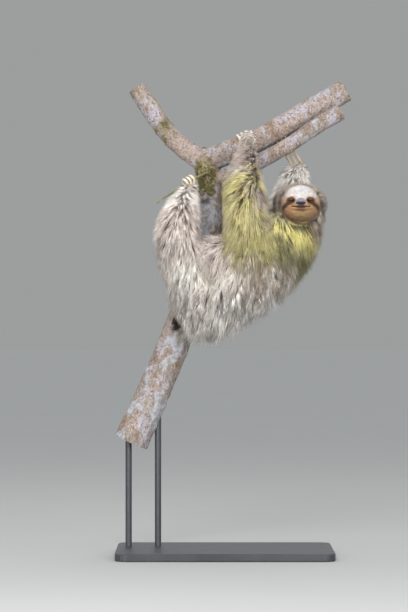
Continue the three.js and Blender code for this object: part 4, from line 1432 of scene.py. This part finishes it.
class SLOTH_OT_moss(bpy.types.Operator):
    """Short moss on the wood at the fork"""

    bl_idname = "sloth.moss"
    bl_label = "Make the moss"

    def execute(self, context):
        rng = np.random.RandomState(41)
        wood = bpy.data.objects["bark"].data
        damp = rows(wood.attributes["damp"].data, "value", 1)[:, 0]
        p, normals = places_of(wood), normals_of(wood)
        weight = damp ** 2 * ease(0.0, 0.9, ripple(p, 0.03, 42)[:, 0])
        count = fewer(MOSS_TUFTS)
        chosen = rng.choice(len(p), count, p=weight / weight.sum())
        roots = p[chosen] + rng.normal(size=(count, 3)) * 0.9 * MM - normals[chosen] * 0.3 * MM
        ahead = unit(normals[chosen] + 0.6 * rng.normal(size=(count, 3)) + 0.2 * DOWN)
        lengths = rng.uniform(1.6, 4.2, count) * MM
        along = (lengths[:, None] * np.array([0, 0.5, 1]))[:, :, None]
        path = roots[:, None] + ahead[:, None] * along
        widths = np.full(count, 0.9 * MM)
        spots, chance = rng.rand(count, 2), rng.rand(count)
        facing = unit(rng.normal(size=(count, 3)))
        tufts = (path, widths, None, chance, spots, facing, 0.9)
        mesh = tuft_mesh("moss", moss_material(), *tufts)
        keep("moss", mesh, "bark")
        return {"FINISHED"}


class SLOTH_OT_stand(bpy.types.Operator):
    """Satin paint on the stand's plate and rods"""

    bl_idname = "sloth.stand"
    bl_label = "Paint the stand"

    def execute(self, context):
        paint = paint_material()
        for name in ("stand_base", "stand_rod_left", "stand_rod_right"):
            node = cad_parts[name]
            node.data.materials.clear()
            node.data.materials.append(paint)
        return {"FINISHED"}


class SLOTH_OT_stage(bpy.types.Operator):
    """Pale floor, soft studio light and the camera"""

    bl_idname = "sloth.stage"
    bl_label = "Set the stage"

    def execute(self, context):
        scene = context.scene
        distance = settings("stage").distance
        bm = bmesh.new()
        bmesh.ops.create_grid(bm, x_segments=1, y_segments=1, size=30)
        plane = mesh_from(bm, "floor", floor_material(), smooth=False)
        floor = bpy.data.objects.new("floor", plane)
        scene.collection.objects.link(floor)
        world = bpy.data.worlds.new("Studio")
        world.use_nodes = True
        tree = world.node_tree
        add, link = tree.nodes.new, tree.links.new
        height, rise = add("ShaderNodeSeparateXYZ"), add("ShaderNodeMapRange")
        rise.interpolation_type = "SMOOTHSTEP"
        sky = add("ShaderNodeMix")
        sky.data_type = "RGBA"
        link(add("ShaderNodeTexCoord").outputs["Generated"], height.inputs[0])
        link(height.outputs["Z"], rise.inputs["Value"])
        rise.inputs["From Min"].default_value = 0.14
        rise.inputs["From Max"].default_value = 0.75
        link(rise.outputs[0], sky.inputs[0])
        sky.inputs[6].default_value = (0.335, 0.345, 0.345, 1)
        sky.inputs[7].default_value = (1.08, 1.12, 1.14, 1)
        link(sky.outputs[2], tree.nodes["Background"].inputs["Color"])
        scene.world = world
        middle = Vector((0.02, -0.08, 0.62))
        for name, place, power, size in (
            ("key", (-0.35, -2.9, 1.85), 76, 1.0),
            ("fill", (1.4, -2.8, 0.3), 72, 2.0),
            ("low", (-1.2, -2.0, 0.12), 32, 1.0),
            ("top", (0.2, 0.9, 3.0), 30, 2.2),
        ):
            light = bpy.data.lights.new(name, "AREA")
            light.energy = power
            light.size = size
            lamp = bpy.data.objects.new(name, light)
            lamp.location = place
            lamp.rotation_euler = (middle - Vector(place)).to_track_quat("-Z", "Y").to_euler()
            scene.collection.objects.link(lamp)
        camera = bpy.data.objects.new("camera", bpy.data.cameras.new("camera"))
        camera.data.sensor_fit = "VERTICAL"
        camera.data.sensor_height = 36
        camera.data.lens = camera.data.sensor_height * distance / VIEW_HEIGHT
        camera.data.clip_end = 100
        camera.location = Vector(VIEW_MIDDLE) - Vector((0, distance, 0))
        camera.rotation_euler = (math.radians(90), 0, 0)
        scene.collection.objects.link(camera)
        scene.camera = camera
        scene.view_settings.view_transform = "Standard"
        return {"FINISHED"}


class SLOTH_PT_maker(bpy.types.Panel):
    """Lists the settings and the pieces of the sloth"""

    bl_idname = "SLOTH_PT_maker"
    bl_label = "Sloth"
    bl_space_type = "VIEW_3D"
    bl_region_type = "UI"
    bl_category = "Sloth"

    def draw(self, context):
        for name in SETTINGS:
            box = self.layout.box()
            group = getattr(context.scene, name)
            for key in group.bl_rna.properties.keys():
                if key not in ("name", "rna_type"):
                    box.prop(group, key)
        for operator in OPERATORS:
            self.layout.operator(operator.bl_idname)


SETTINGS = {
    "sloth_coat": SlothCoatSettings,
    "sloth_face": SlothFaceSettings,
    "sloth_perch": SlothPerchSettings,
    "sloth_stage": SlothStageSettings,
}
# In the order in which they are made: the coat is fitted to the wood and grows from the skin.
OPERATORS = [
    SLOTH_OT_bark,
    SLOTH_OT_twig,
    SLOTH_OT_skin,
    SLOTH_OT_coat,
    SLOTH_OT_face_coat,
    SLOTH_OT_eyes,
    SLOTH_OT_nose,
    SLOTH_OT_claws,
    SLOTH_OT_moss,
    SLOTH_OT_stand,
    SLOTH_OT_stage,
]


def register():
    for one in [*SETTINGS.values(), *OPERATORS, SLOTH_PT_maker]:
        bpy.utils.register_class(one)
    for name, group in SETTINGS.items():
        setattr(bpy.types.Scene, name, PointerProperty(type=group))


def unregister():
    for name in SETTINGS:
        delattr(bpy.types.Scene, name)
    for one in reversed([*SETTINGS.values(), *OPERATORS, SLOTH_PT_maker]):
        bpy.utils.unregister_class(one)


def main():
    register()
    for operator in OPERATORS:
        group, name = operator.bl_idname.split(".")
        getattr(getattr(bpy.ops, group), name)()


if __name__ == "__main__":
    main()
